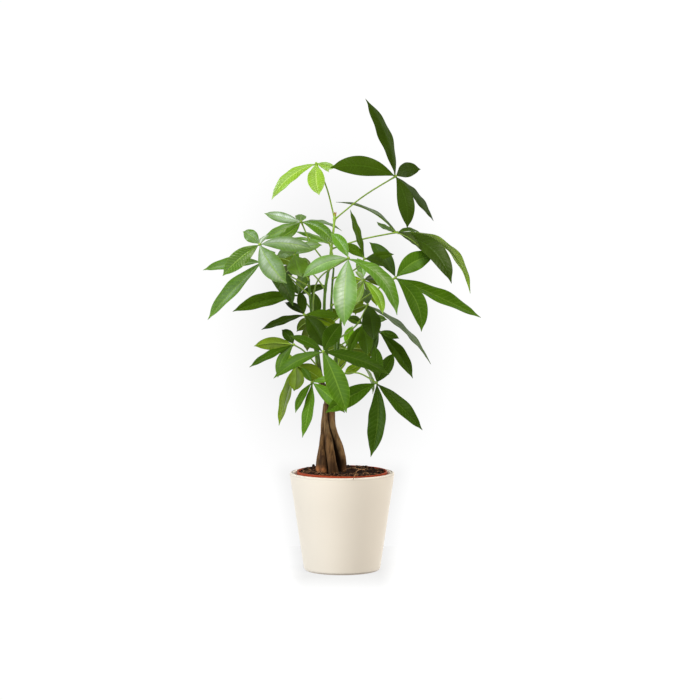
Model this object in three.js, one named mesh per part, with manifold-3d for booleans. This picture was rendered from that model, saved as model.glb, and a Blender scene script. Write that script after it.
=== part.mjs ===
// A potted money tree: five short trunks twisted together, green stems above them, a crown of
// hand-shaped leaves on long stalks, soil, a plastic nursery pot and a glazed outer pot.
// Millimetres, +Z up. The origin is the centre of the outer pot's foot; the front looks along -Y.

import * as THREE from 'three';
import { mergeVertices } from 'three/addons/utils/BufferGeometryUtils.js';
import Module from 'manifold-3d';

const wasm = await Module();
wasm.setup();

// Clearance kept between pieces that rest on each other.
const GAP = 0.3;

// Outer pot
const POT_HEIGHT = 131;
const POT_RIM_RADIUS = 70;
const POT_FOOT_RADIUS = 50.5;
const POT_WALL = 7;
const POT_FLOOR = 8;
const POT_LIP_RADIUS = 3.2;
const POT_FOOT_ROUNDING = 4;
const POT_FLOOR_SPREAD = 1;
const POT_SEGMENTS = 36;

// Nursery pot
const NURSERY_TOP = 133;
const NURSERY_RIM_RADIUS = 60.5;
const NURSERY_SHOULDER_RADIUS = 58.3;
const NURSERY_BASE_RADIUS = 41;
const NURSERY_WALL = 1.4;
const NURSERY_RIM_BAND = 13;
const NURSERY_STEP_IN = 1.2;
const NURSERY_STEP_OUT = 0.8;
const NURSERY_STEP_HEIGHT = 1;
const NURSERY_EDGE_BEVEL = 0.7;
const NURSERY_SEGMENTS = 30;
const DRAIN_HOLE_RADIUS = 4;
const DRAIN_HOLE_RING = 26;
const DRAIN_HOLES = 6;
const DRAIN_HOLE_SIDES = 10;

// Soil
const SOIL_EDGE_HEIGHT = 129;
const SOIL_SHOULDER_RISE = 4;
const SOIL_CLEARANCE = 0.45;
const SOIL_EDGE_CLEARANCE = 0.9;
const SOIL_MOUND = 5.5;
const SOIL_MOUND_STEEPNESS = 2.6;
const SOIL_CLOD_STEEPNESS = 6;
const SOIL_RINGS = 5;
const SOIL_SEGMENTS = 30;

// Clods of the soil as waves: height, turns along x, turns along y and phase
const SOIL_CLODS = [
  [1.5, 0.23, 0.19, 1],
  [1.1, 0.41, -0.33, 0],
  [0.7, 0.6, 0.52, 3.57],
];

// Trunk: five strands twisted about one leaning axis
const STRAND_FOOT = 86;
const TWIST_START = 132;
const TWIST_END = 205;
const TWIST_EASE = 1.3;
const STRAND_TOP = 222;
const STRAND_GAP = 0.25;
const STRAND_ARC_POINTS = 7;
const STRAND_CORNER = 0.8;
const STRAND_ROUNDNESS = 0.7;
const HOLE_CLEARANCE = 0.4;
const HOLE_LEVELS = [104, 122, 132, 142];

// Height, axis x and radius of the trunk
const TRUNK_SECTIONS = [
  [86, -14.5, 13.5],
  [104, -14.5, 17],
  [122, -14.7, 20.4],
  [132, -14.7, 20.8],
  [142, -14.5, 20.4],
  [152, -14.5, 19.6],
  [162, -15, 18],
  [172, -15.4, 15.8],
  [182, -16.4, 12.6],
  [192, -17.8, 10.6],
  [202, -18.2, 9.2],
  [212, -17.8, 8.6],
  [222, -17, 8.2],
];

// Grooves between the strands: angle from the front at the soil and at the top of the twist
const GROOVE_ANGLES = [
  [-54, -135],
  [-16, -65],
  [45, 0],
  [125, 75],
  [215, 148],
];

// Leaves and stalks
const BLADE_THICKNESS = 0.8;
const BLADE_FOLD = 0.2;
const BLADE_SLENDERNESS = 0.265;
const LONG_BLADE = 76;
const LONG_BLADE_STATIONS = [0, 0.16, 0.37, 0.6, 0.82, 1];
const SHORT_BLADE_STATIONS = [0, 0.2, 0.48, 0.78, 1];
const BLADE_RISE = 1.15;
const BLADE_FALL = 1.05;
const BLADE_START = 1.1;
const BLADE_BASE_HALF = 0.6;
const BLADE_TIP_HALF = 0.45;
const COLLAR_RADIUS = 1.9;
const COLLAR_HEIGHT = 3.4;
const COLLAR_SIDES = 5;
const STALK_RADIUS = 1.15;
const STALK_ROOT_RADIUS = 1.38;
const STALK_SIDES = 5;
const STALK_STEPS = 4;
const STEM_SIDES = 6;
const STEM_FOOT_REACH = 0.64;
const STEM_FOOT_RISE = 6;
const STEM_EXTRA_STEPS = 2;

// Leaf points are written as they show from the front: x and z where the sight line from the eye
// crosses the plane y = 0, then the depth y that the point has on that line.
const EYE = new THREE.Vector3(10.6, -4000, 630);

const BARK = { color: 0x6b4a33, roughness: 0.9 };
const STEM_GREEN = { color: 0x6f8f3c, roughness: 0.55 };
const OLD_LEAF = { color: 0x2f5a1c, roughness: 0.38 };
const MATURE_LEAF = { color: 0x3f7a26, roughness: 0.4 };
const YOUNG_LEAF = { color: 0x6fb52c, roughness: 0.42 };

// The five green stems, each standing on one strand. Points as seen: x, z, depth.
const STEMS = {
  stem_leader: {
    strand: 2,
    radius: [2.7, 1.5],
    route: [[-19, 262, -1], [-22, 310, 1], [-23.5, 350, 2], [-22, 375, 2], [-18, 400, 1],
      [-14.5, 425, 0], [-11.5, 450, -1], [-9.5, 472, -2]],
  },
  stem_right: {
    strand: 3,
    radius: [2.5, 1.3],
    route: [[-8, 255, -2], [-9, 300, 3], [-14, 345, 8], [-13, 378, 10], [-11, 402, 12]],
  },
  stem_left: {
    strand: 1,
    radius: [2.5, 1.3],
    route: [[-29, 252, -3], [-36, 300, -2], [-41, 345, 4], [-43, 372, 6], [-44, 388, 7]],
  },
  stem_back: {
    strand: 4,
    radius: [2.5, 1.2],
    route: [[-11, 255, 12], [-5, 300, 22], [0, 350, 30], [4, 385, 34]],
  },
  stem_short: {
    strand: 5,
    radius: [2.4, 1.1],
    route: [[-25, 250, 10], [-31, 285, 19], [-33, 320, 27], [-31, 345, 33]],
  },
};

// Each leaf: its stem and the height where its stalk leaves it, the stalk's middle point, the hub
// where the leaflets meet, and a row for each leaflet: tip x, z and depth, the width that shows
// (negative where its underside shows), how far the middle arches up, and how far it bulges
// towards the front.
const LEAVES = {
  leaf_top_right: {
    stem: 'stem_leader', from: 462, look: OLD_LEAF,
    stalk: [28, 495, -5], hub: [71, 524, -12],
    leaflets: [
      [30, 628, -8, 18, 3, 5],
      [-16, 535, -30, 24, 11, 8],
      [104, 533, 38, 20, 4, -4],
      [86, 455, -32, 22, 6, 8],
      [121, 465, -5, 10, 5, 3],
    ],
  },
  leaf_top_left: {
    stem: 'stem_leader', from: 468, look: YOUNG_LEAF,
    stalk: [-20, 508, 2], hub: [-34, 541, 6],
    leaflets: [
      [-93, 493, 4, 15, 8, 2],
      [-30, 499, -34, 23, -2, 6],
      [-8, 537, -16, 10, 3, 2],
      [-17, 529, 30, 8, 3, 2],
    ],
  },
  leaf_left_front: {
    stem: 'stem_left', from: 366, look: MATURE_LEAF,
    stalk: [-88, 408, -18], hub: [-109, 434, -52],
    leaflets: [
      [-129, 453, -30, 17, 2, 2],
      [-97, 447, -16, 6, 1, 2],
      [-158, 392, -70, 22, 3, 4],
      [-38, 427, -52, 19, 5, 6],
      [-73, 382, -92, 24, 0, 8],
    ],
  },
  leaf_upper_left: {
    stem: 'stem_leader', from: 404, look: MATURE_LEAF,
    stalk: [-41, 436, 16], hub: [-54, 464, 16],
    leaflets: [
      [-53, 476, 52, 15, 1, 0],
      [-103, 475, 26, 14, 0, 3],
      [-106, 440, 2, 13, 0, 4],
      [-88, 441, -14, 13, -3, 4],
      [-9, 432, -16, 16, 7, 4],
      [0, 452, 22, 4, 5, 0],
    ],
  },
  leaf_far_left: {
    stem: 'stem_left', from: 378, look: MATURE_LEAF,
    stalk: [-76, 396, 2], hub: [-106, 411, -8],
    leaflets: [
      [-184, 400, -4, 15, 3, 3],
      [-178, 334, -26, 18, 2, 5],
      [-65, 352, -36, 23, 7, 6],
      [-88, 424, 38, 12, 2, 0],
    ],
  },
  leaf_upper_thin: {
    stem: 'stem_leader', from: 392, look: MATURE_LEAF,
    stalk: [-12, 416, 20], hub: [-17, 436, 28],
    leaflets: [
      [-62, 451, 36, 6, 3, 0],
      [-65, 443, 24, 5, 2, 0],
      [-30, 449, 62, 10, 1, 0],
      [4, 434, 46, 9, 2, 0],
    ],
  },
  leaf_left_inner: {
    stem: 'stem_left', from: 386, look: OLD_LEAF,
    stalk: [-53, 402, 0], hub: [-63, 420, -12],
    leaflets: [
      [-26, 433, -20, 14, 4, 2],
      [-54, 391, -44, 28, 0, 5],
      [-86, 417, 6, 13, 4, 2],
      [-72, 440, 26, 12, 0, 0],
    ],
  },
  leaf_left_low: {
    stem: 'stem_short', from: 332, look: OLD_LEAF,
    stalk: [-44, 352, 24], hub: [-57, 367, 16],
    leaflets: [
      [-145, 345, 8, 19, 4, 4],
      [-45, 396, 44, 16, 3, 0],
      [-19, 379, 42, 10, 2, 0],
      [-84, 388, 48, 12, 3, 0],
    ],
  },
  leaf_centre_front: {
    stem: 'stem_left', from: 328, look: YOUNG_LEAF,
    stalk: [-32, 386, -38], hub: [8.5, 416, -75],
    leaflets: [
      [-52, 390, -70, 19, 6, 6],
      [3, 327, -114, 32, 2, 8],
      [73, 340, -92, 19, 15, 6],
      [-15, 449, -42, 16, 3, 4],
    ],
  },
  leaf_centre_dark: {
    stem: 'stem_right', from: 388, look: OLD_LEAF,
    stalk: [16, 400, -12], hub: [30, 415, -34],
    leaflets: [
      [11, 480, -24, 10, 0.5, 3],
      [69, 421, -44, 11, 1, 4],
      [0, 433, -26, 13, 3, 2],
      [58, 404, -62, 12, 4, 3],
    ],
  },
  leaf_right: {
    stem: 'stem_right', from: 330, look: MATURE_LEAF,
    stalk: [35, 367, -26], hub: [71, 390, -25],
    leaflets: [
      [36, 437, -8, 19, 4, 3],
      [122, 419, 4, 25, 6, 3],
      [184, 337, -34, 17, 1, 5],
      [105, 318, -62, 24, 11, 8],
    ],
  },
  leaf_upper_right: {
    stem: 'stem_leader', from: 428, look: OLD_LEAF,
    stalk: [28, 441, 16], hub: [73, 450, 12],
    leaflets: [
      [-8, 490, 28, 4, 10, 2],
      [46, 464, 46, 6, -2, 0],
      [104, 452, 36, 5, 3, 0],
      [145, 382, -24, 24, 15, 7],
      [170, 369, 10, -9, 24, 2],
      [104, 429, -22, -9, 3, 2],
    ],
  },
  leaf_centre_young: {
    stem: 'stem_right', from: 352, look: YOUNG_LEAF,
    stalk: [14, 372, -30], hub: [29, 386, -60],
    leaflets: [
      [54, 341, -76, 13, 6, 4],
      [11, 350, -74, 9, -3, 3],
      [61, 390, -42, 10, 4, 2],
      [17, 398, -46, 7, 2, 0],
    ],
  },
  leaf_centre_right: {
    stem: 'stem_right', from: 305, look: OLD_LEAF,
    stalk: [20, 328, -14], hub: [34, 354, -18],
    leaflets: [
      [41, 307, -58, 25, 2, 5],
      [118, 275, -16, 7, 8, 3],
      [29, 375, 24, 16, 1, 0],
      [9, 345, 10, -12, 0, 0],
    ],
  },
  leaf_low_front: {
    stem: 'stem_leader', from: 246, look: MATURE_LEAF,
    stalk: [-24, 275, -50], hub: [-25, 292, -92],
    leaflets: [
      [-91, 256, -96, 15, 5, 4],
      [6, 210, -122, 28, 2, 6],
      [63, 261, -102, 18, 5, 5],
      [-69, 313, -72, 12, 2, 3],
      [0, 330, -54, 23, 2, 2],
    ],
  },
  leaf_mid_left: {
    stem: 'stem_left', from: 300, look: OLD_LEAF,
    stalk: [-46, 328, -12], hub: [-50, 341, -30],
    leaflets: [
      [-107, 321, -36, 10, 1.5, 3],
      [-23, 296, -66, 24, 3, 6],
      [-76, 357, -4, 10, 2, 0],
      [-56, 372, 0, 13, 0, 0],
      [-2, 337, -40, 11, 3, 2],
      [-3, 322, -24, -12, 3, 0],
    ],
  },
  leaf_mid_left_small: {
    stem: 'stem_left', from: 272, look: MATURE_LEAF,
    stalk: [-50, 292, -20], hub: [-64, 301, -42],
    leaflets: [
      [-117, 299, -46, -15, 3, 3],
      [-123, 271, -58, 10, 2, 4],
      [-85, 257, -66, 14, 5, 3],
      [-80, 321, -24, 14, 2, 2],
    ],
  },
  leaf_low_left: {
    stem: 'stem_left', from: 244, look: MATURE_LEAF,
    stalk: [-34, 254, -26], hub: [-40, 251, -50],
    leaflets: [
      [-62, 210, -62, 10, 3, 3],
      [-53, 177, -72, 14, -2, 4],
      [4, 210, -58, 18, 2, 3],
      [-12, 258, -34, 8, 0, 1],
      [-54, 271, -28, 9, 1, 1],
    ],
  },
  leaf_low_left_pale: {
    stem: 'stem_short', from: 256, look: MATURE_LEAF,
    stalk: [-46, 268, 8], hub: [-62, 274, -4],
    leaflets: [
      [-84, 193, -18, -13, 1, 3],
      [-64, 239, -34, -21, -2, 3],
      [-24, 252, -17, -22, 2, 0],
      [-84, 288, 28, -12, 2, 0],
    ],
  },
  leaf_low_right: {
    stem: 'stem_right', from: 262, look: MATURE_LEAF,
    stalk: [22, 263, -34], hub: [46, 250, -62],
    leaflets: [
      [-22, 210, -74, 24, 2, 4],
      [38, 151, -84, 23, -5.5, 5],
      [107, 187, -74, 18, 1, 5],
      [68, 290, -34, 17, -1, 3],
      [43, 300, -38, 16, 2, 2],
    ],
  },
  leaf_right_inner: {
    stem: 'stem_back', from: 296, look: OLD_LEAF,
    stalk: [24, 316, 24], hub: [49, 319, 22],
    leaflets: [
      [94, 256, 4, 13, 4, 4],
      [76, 309, 10, 10, 1, 2],
      [39, 284, 4, 10, 1, 2],
      [38, 332, 54, 10, 2, 0],
    ],
  },
  leaf_centre_low: {
    stem: 'stem_right', from: 280, look: OLD_LEAF,
    stalk: [16, 314, 4], hub: [28, 328, 2],
    leaflets: [
      [33, 286, -26, 20, 1, 4],
      [8, 288, -18, 13, 2, 3],
      [5, 336, -14, 11, 2, 1],
      [60, 334, 20, 12, 4, 0],
    ],
  },
  leaf_low_inner: {
    stem: 'stem_back', from: 262, look: YOUNG_LEAF,
    stalk: [10, 281, 26], hub: [29, 274, 16],
    leaflets: [
      [3, 261, -4, -12, 2, 0],
      [41, 235, 6, 5, 4, 2],
      [56, 262, 30, 12, 2, 0],
      [34, 289, 46, -10, 1, 0],
    ],
  },
  leaf_back_left: {
    stem: 'stem_short', from: 305, look: OLD_LEAF,
    stalk: [-36, 322, 58], hub: [-34, 334, 86],
    leaflets: [
      [-60, 318, 112, -15, 4, -6],
      [-46, 292, 128, -20, 4, -6],
      [-10, 312, 132, -20, 4, -6],
      [6, 340, 108, -16, 4, -4],
      [-40, 372, 104, 16, 2, -2],
    ],
  },
  leaf_back_right: {
    stem: 'stem_back', from: 352, look: MATURE_LEAF,
    stalk: [18, 372, 58], hub: [28, 388, 82],
    leaflets: [
      [66, 378, 106, -17, 5, -5],
      [46, 352, 122, -15, 3, -6],
      [18, 340, 128, -20, 3, -6],
      [-8, 372, 112, -17, 4, -5],
      [20, 416, 96, 14, 2, -2],
    ],
  },
  leaf_back_high: {
    stem: 'stem_leader', from: 374, look: MATURE_LEAF,
    stalk: [-38, 394, 36], hub: [-60, 407, 66],
    leaflets: [
      [-94, 414, 84, -15, 4, -4],
      [-80, 384, 106, -17, 4, -6],
      [-48, 380, 112, -18, 3, -6],
      [-40, 406, 100, -14, 3, -4],
      [-66, 428, 92, 12, 1, 0],
    ],
  },
  leaf_back_low: {
    stem: 'stem_back', from: 282, look: MATURE_LEAF,
    stalk: [4, 294, 58], hub: [8, 296, 84],
    leaflets: [
      [44, 284, 106, -17, 5, -5],
      [22, 272, 122, -15, 3, -6],
      [-6, 262, 126, -18, 4, -6],
      [-24, 290, 104, -15, 3, -4],
      [14, 326, 98, 14, 2, -2],
    ],
  },
};

const degrees = Math.PI / 180;

// A point that is seen at x, z, moved along its sight line to the given depth.
function seen(x, z, depth) {
  const reach = (depth - EYE.y) / -EYE.y;
  return new THREE.Vector3(EYE.x + (x - EYE.x) * reach, depth, EYE.z + (z - EYE.z) * reach);
}

// A closed three.js geometry as a solid for cutting and joining.
function solidOf(geometry) {
  const plain = new THREE.BufferGeometry();
  plain.setAttribute('position', geometry.getAttribute('position'));
  plain.setIndex(geometry.index);
  const merged = mergeVertices(plain, 1e-3);
  return new wasm.Manifold(new wasm.Mesh({
    numProp: 3,
    vertProperties: new Float32Array(merged.attributes.position.array),
    triVerts: new Uint32Array(merged.index.array),
  }));
}

function geometryOf(solid) {
  const mesh = solid.getMesh();
  const geometry = new THREE.BufferGeometry();
  geometry.setAttribute('position', new THREE.BufferAttribute(mesh.vertProperties, mesh.numProp));
  geometry.setIndex(new THREE.BufferAttribute(mesh.triVerts, 1));
  const flat = geometry.toNonIndexed();
  flat.computeVertexNormals();
  return flat;
}

function joined(geometries) {
  return geometryOf(wasm.Manifold.union(geometries.map(solidOf)));
}

// A closed skin through rings of equal count, each ring counter-clockwise seen from its far end.
// Where two twisted pieces lie side by side, one of them has the column that faces its neighbour
// split along the other diagonal, so that the two faces match.
function loft(rings, turnedColumn = -1) {
  const count = rings[0].length;
  const points = rings.flat();
  const faces = [];
  for (let ring = 0; ring + 1 < rings.length; ring += 1) {
    for (let i = 0; i < count; i += 1) {
      const a = ring * count + i;
      const b = ring * count + ((i + 1) % count);
      if (i === turnedColumn) {
        faces.push(a, b, a + count, b, b + count, a + count);
      } else {
        faces.push(a, b, b + count, a, b + count, a + count);
      }
    }
  }
  const last = (rings.length - 1) * count;
  for (let i = 1; i + 1 < count; i += 1) {
    faces.push(0, i + 1, i);
    faces.push(last, last + i, last + i + 1);
  }
  return indexed(points, faces);
}

function indexed(points, faces) {
  const geometry = new THREE.BufferGeometry();
  geometry.setFromPoints(points);
  geometry.setIndex(faces);
  return geometry;
}

// A round tube along a curve, tapering from the first radius to the last.
function tube(curve, radii, sides, steps) {
  const frames = curve.computeFrenetFrames(steps, false);
  const rings = [];
  for (let step = 0; step <= steps; step += 1) {
    const along = step / steps;
    const centre = curve.getPointAt(along);
    const radius = THREE.MathUtils.lerp(radii[0], radii[1], along);
    const ring = [];
    for (let side = 0; side < sides; side += 1) {
      const angle = (side / sides) * 2 * Math.PI;
      ring.push(centre.clone()
        .addScaledVector(frames.normals[step], radius * Math.cos(angle))
        .addScaledVector(frames.binormals[step], radius * Math.sin(angle)));
    }
    rings.push(ring);
  }
  return loft(rings);
}

function lathe(profile, segments) {
  return new THREE.LatheGeometry(profile, segments).rotateX(Math.PI / 2);
}

function arc(centreR, centreZ, radius, from, to, steps) {
  const points = [];
  for (let step = 0; step <= steps; step += 1) {
    const angle = THREE.MathUtils.lerp(from, to, step / steps) * degrees;
    points.push(new THREE.Vector2(
      centreR + radius * Math.cos(angle), centreZ + radius * Math.sin(angle)));
  }
  return points;
}

// Outer pot: a straight tapered cup with a rounded lip and a flat foot.
function outerPot() {
  const lipTop = POT_HEIGHT - POT_LIP_RADIUS;
  const innerRim = POT_RIM_RADIUS - POT_WALL;
  const innerFloor = POT_FOOT_RADIUS - POT_WALL + POT_FLOOR_SPREAD;
  const profile = [
    new THREE.Vector2(0, 0),
    ...arc(POT_FOOT_RADIUS - POT_FOOT_ROUNDING, POT_FOOT_ROUNDING, POT_FOOT_ROUNDING, -90, -8, 4),
    ...arc(POT_RIM_RADIUS - POT_LIP_RADIUS, lipTop, POT_LIP_RADIUS, 0, 90, 3),
    ...arc(innerRim + POT_LIP_RADIUS, lipTop, POT_LIP_RADIUS, 90, 180, 3),
    ...arc(innerFloor - POT_FOOT_ROUNDING, POT_FLOOR + POT_FOOT_ROUNDING, POT_FOOT_ROUNDING,
      0, -90, 3),
    new THREE.Vector2(0, POT_FLOOR),
  ];
  return lathe(profile, POT_SEGMENTS);
}

// Nursery pot: a thin cup with a stepped rim band and drain holes round its floor.
function nurseryPot() {
  const base = POT_FLOOR + GAP;
  const band = NURSERY_TOP - NURSERY_RIM_BAND;
  const step = band + NURSERY_STEP_HEIGHT;
  const below = NURSERY_SHOULDER_RADIUS - NURSERY_STEP_IN;
  const above = NURSERY_SHOULDER_RADIUS + NURSERY_STEP_OUT;
  const wall = NURSERY_WALL;
  const bevel = NURSERY_EDGE_BEVEL;
  const profile = [
    new THREE.Vector2(0, base),
    new THREE.Vector2(NURSERY_BASE_RADIUS, base),
    new THREE.Vector2(below, band),
    new THREE.Vector2(above, step),
    new THREE.Vector2(NURSERY_RIM_RADIUS, NURSERY_TOP - bevel),
    new THREE.Vector2(NURSERY_RIM_RADIUS - bevel, NURSERY_TOP),
    new THREE.Vector2(NURSERY_RIM_RADIUS - wall - bevel, NURSERY_TOP),
    new THREE.Vector2(above - wall, step + wall),
    new THREE.Vector2(below - wall, band),
    new THREE.Vector2(NURSERY_BASE_RADIUS - wall, base + wall),
    new THREE.Vector2(0, base + wall),
  ];
  let cup = solidOf(lathe(profile, NURSERY_SEGMENTS));
  for (let hole = 0; hole < DRAIN_HOLES; hole += 1) {
    const angle = (hole / DRAIN_HOLES) * 2 * Math.PI;
    const drill = new THREE.CylinderGeometry(
      DRAIN_HOLE_RADIUS, DRAIN_HOLE_RADIUS, 4 * wall, DRAIN_HOLE_SIDES)
      .rotateX(Math.PI / 2)
      .translate(
        DRAIN_HOLE_RING * Math.cos(angle), DRAIN_HOLE_RING * Math.sin(angle), base + wall / 2);
    cup = cup.subtract(solidOf(drill));
  }
  return geometryOf(cup);
}

// Height of the soil above its edge: a low mound with clods, level at the pot's wall.
function soilRise(x, y) {
  const edge = NURSERY_RIM_RADIUS - NURSERY_WALL;
  const inward = Math.max(0, 1 - Math.hypot(x, y) / edge);
  let clods = 0;
  for (const [height, alongX, alongY, phase] of SOIL_CLODS) {
    clods += height * Math.sin(x * alongX + y * alongY + phase);
  }
  return SOIL_MOUND * Math.min(1, inward * SOIL_MOUND_STEEPNESS)
    + clods * Math.min(1, inward * SOIL_CLOD_STEEPNESS);
}

function soil() {
  const base = POT_FLOOR + NURSERY_WALL + 2 * GAP;
  const band = NURSERY_TOP - NURSERY_RIM_BAND;
  const inset = NURSERY_WALL + SOIL_CLEARANCE;
  const rim = NURSERY_RIM_RADIUS - SOIL_EDGE_CLEARANCE - inset;
  const profile = [
    new THREE.Vector2(0, base),
    new THREE.Vector2(NURSERY_BASE_RADIUS - inset, base),
    new THREE.Vector2(NURSERY_SHOULDER_RADIUS - NURSERY_STEP_IN - inset, band),
    new THREE.Vector2(NURSERY_SHOULDER_RADIUS - inset, band + SOIL_SHOULDER_RISE),
  ];
  for (let ring = 0; ring < SOIL_RINGS; ring += 1) {
    profile.push(new THREE.Vector2(rim * (1 - ring / SOIL_RINGS), SOIL_EDGE_HEIGHT));
  }
  profile.push(new THREE.Vector2(0, SOIL_EDGE_HEIGHT));
  const ground = lathe(profile, SOIL_SEGMENTS);
  const place = ground.getAttribute('position');
  for (let i = 0; i < place.count; i += 1) {
    if (place.getZ(i) > SOIL_EDGE_HEIGHT - 0.5) {
      place.setZ(i, place.getZ(i) + soilRise(place.getX(i), place.getY(i)));
    }
  }
  return geometryOf(solidOf(ground).subtract(solidOf(trunkHole())));
}

function trunkAt(height) {
  const sections = TRUNK_SECTIONS;
  const next = Math.max(1, sections.findIndex((section) => section[0] >= height));
  const [lowZ, lowX, lowR] = sections[next - 1];
  const [highZ, highX, highR] = sections[next];
  const share = (height - lowZ) / (highZ - lowZ);
  return {
    x: THREE.MathUtils.lerp(lowX, highX, share),
    radius: THREE.MathUtils.lerp(lowR, highR, share),
  };
}

function grooveAngle(strand, height) {
  const turns = Math.floor(strand / GROOVE_ANGLES.length);
  const [low, high] = GROOVE_ANGLES[strand % GROOVE_ANGLES.length];
  const rise = Math.max(0, (height - TWIST_START) / (TWIST_END - TWIST_START));
  return (THREE.MathUtils.lerp(low, high, rise ** TWIST_EASE) + turns * 360) * degrees;
}

// A point of the trunk at an angle from the front, turning to the right.
function trunkPoint(centreX, radius, angle, height) {
  return new THREE.Vector3(
    centreX + radius * Math.sin(angle), -radius * Math.cos(angle), height);
}

// How far a strand's outside bulges between its two grooves.
function lobe(share) {
  return STRAND_CORNER + (1 - STRAND_CORNER) * Math.sin(Math.PI * share) ** STRAND_ROUNDNESS;
}

function strandRing(strand, height) {
  const { x, radius } = trunkAt(height);
  const from = grooveAngle(strand, height);
  const to = grooveAngle(strand + 1, height);
  const half = (to - from) / 2;
  const middle = from + half;
  const apex = STRAND_GAP / Math.sin(half);
  const ring = [trunkPoint(x, apex, middle, height)];
  for (let i = 0; i < STRAND_ARC_POINTS; i += 1) {
    const share = i / (STRAND_ARC_POINTS - 1);
    const reach = radius * lobe(share);
    const inset = Math.asin(STRAND_GAP / reach);
    const angle = THREE.MathUtils.lerp(from + inset, to - inset, share);
    ring.push(trunkPoint(x, reach, angle, height));
  }
  return ring;
}

function strand(index) {
  return loft(TRUNK_SECTIONS.map((section) => strandRing(index, section[0])), STRAND_ARC_POINTS);
}

// The hole in the soil: the outline of the five strands together, a little larger.
function trunkHole() {
  const levels = [STRAND_FOOT - HOLE_CLEARANCE, ...HOLE_LEVELS];
  return loft(levels.map((height) => {
    const { x, radius } = trunkAt(Math.max(height, STRAND_FOOT));
    const ring = [];
    for (let index = 0; index < GROOVE_ANGLES.length; index += 1) {
      const from = grooveAngle(index, height);
      const to = grooveAngle(index + 1, height);
      for (let i = 0; i + 1 < STRAND_ARC_POINTS; i += 1) {
        const share = i / (STRAND_ARC_POINTS - 1);
        const reach = radius * lobe(share) + HOLE_CLEARANCE;
        ring.push(trunkPoint(x, reach, THREE.MathUtils.lerp(from, to, share), height));
      }
    }
    return ring;
  }));
}

// The curve of a stem, from the middle of its strand's cut top.
function stemCurve(stem) {
  const { x, radius } = trunkAt(STRAND_TOP);
  const from = grooveAngle(stem.strand - 1, STRAND_TOP);
  const to = grooveAngle(stem.strand, STRAND_TOP);
  const foot = trunkPoint(x, radius * STEM_FOOT_REACH, (from + to) / 2, STRAND_TOP + GAP);
  const above = foot.clone().setZ(STRAND_TOP + STEM_FOOT_RISE);
  const route = stem.route.map((point) => seen(...point));
  return new THREE.CatmullRomCurve3([foot, above, ...route], false, 'centripetal');
}

function stemPointAt(curve, height) {
  let low = 0;
  let high = 1;
  while (high - low > 1e-4) {
    const middle = (low + high) / 2;
    if (curve.getPointAt(middle).z < height) {
      low = middle;
    } else {
      high = middle;
    }
  }
  return curve.getPointAt(low);
}

// A leaf's stalk, from inside the stem to just under the hub.
function stalkCurve(leaf) {
  const hub = seen(...leaf.hub);
  const middle = seen(...leaf.stalk);
  const root = stemPointAt(stemCurve(STEMS[leaf.stem]), leaf.from);
  const reach = hub.clone().sub(middle).normalize().multiplyScalar(COLLAR_HEIGHT / 2 + GAP);
  return new THREE.CatmullRomCurve3([root, middle, hub.sub(reach)], false, 'centripetal');
}

function stemWithStalks(name) {
  const stem = STEMS[name];
  const stalks = Object.values(LEAVES).filter((leaf) => leaf.stem === name);
  const curve = stemCurve(stem);
  return joined([
    tube(curve, stem.radius, STEM_SIDES, stem.route.length + STEM_EXTRA_STEPS),
    ...stalks.map((leaf) => tube(
      stalkCurve(leaf), [STALK_ROOT_RADIUS, STALK_RADIUS], STALK_SIDES, STALK_STEPS)),
  ]);
}

// Half the width of a leaflet along its length, as a share of its widest.
function bladeOutline(along) {
  const widest = BLADE_RISE / (BLADE_RISE + BLADE_FALL);
  const most = widest ** BLADE_RISE * (1 - widest) ** BLADE_FALL;
  return (along ** BLADE_RISE * (1 - along) ** BLADE_FALL) / most;
}

// A leaflet: a thin blade folded along its midrib, arched from the hub to its pointed tip.
function leaflet(hub, [x, z, depth, showing, arch, bulge]) {
  const reach = seen(x, z, depth).sub(hub);
  const base = hub.clone().addScaledVector(reach.clone().normalize(), BLADE_START);
  const chord = seen(x, z, depth).sub(base);
  const towardsEye = EYE.clone().sub(hub).normalize();
  const straight = chord.clone().normalize();
  const facing = towardsEye.clone().addScaledVector(straight, -towardsEye.dot(straight)).normalize();
  const upward = facing.clone().cross(straight);
  if (upward.z < 0) {
    upward.negate();
  }
  const width = Math.max(Math.abs(showing), chord.length() * BLADE_SLENDERNESS);
  const roll = Math.acos(showing / width);
  const upper = facing.clone().multiplyScalar(Math.cos(roll))
    .addScaledVector(upward, Math.sin(roll));
  const bend = upward.clone().multiplyScalar(arch).addScaledVector(towardsEye, bulge);
  const points = [];
  const stations = chord.length() > LONG_BLADE ? LONG_BLADE_STATIONS : SHORT_BLADE_STATIONS;
  for (const along of stations) {
    const middle = base.clone().addScaledVector(chord, along)
      .addScaledVector(bend, 4 * along * (1 - along));
    const tangent = chord.clone().addScaledVector(bend, 4 * (1 - 2 * along)).normalize();
    const normal = upper.clone().addScaledVector(tangent, -upper.dot(tangent)).normalize();
    const side = tangent.clone().cross(normal);
    const least = along < 0.5 ? BLADE_BASE_HALF : BLADE_TIP_HALF;
    const half = Math.max(bladeOutline(along) * width / 2, least);
    for (const skin of [0.5, -0.5]) {
      for (const share of [-1, 0, 1]) {
        points.push(middle.clone()
          .addScaledVector(side, half * share)
          .addScaledVector(normal, half * Math.abs(share) * BLADE_FOLD + skin * BLADE_THICKNESS));
      }
    }
  }
  return indexed(points, bladeFaces(stations.length));
}

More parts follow.
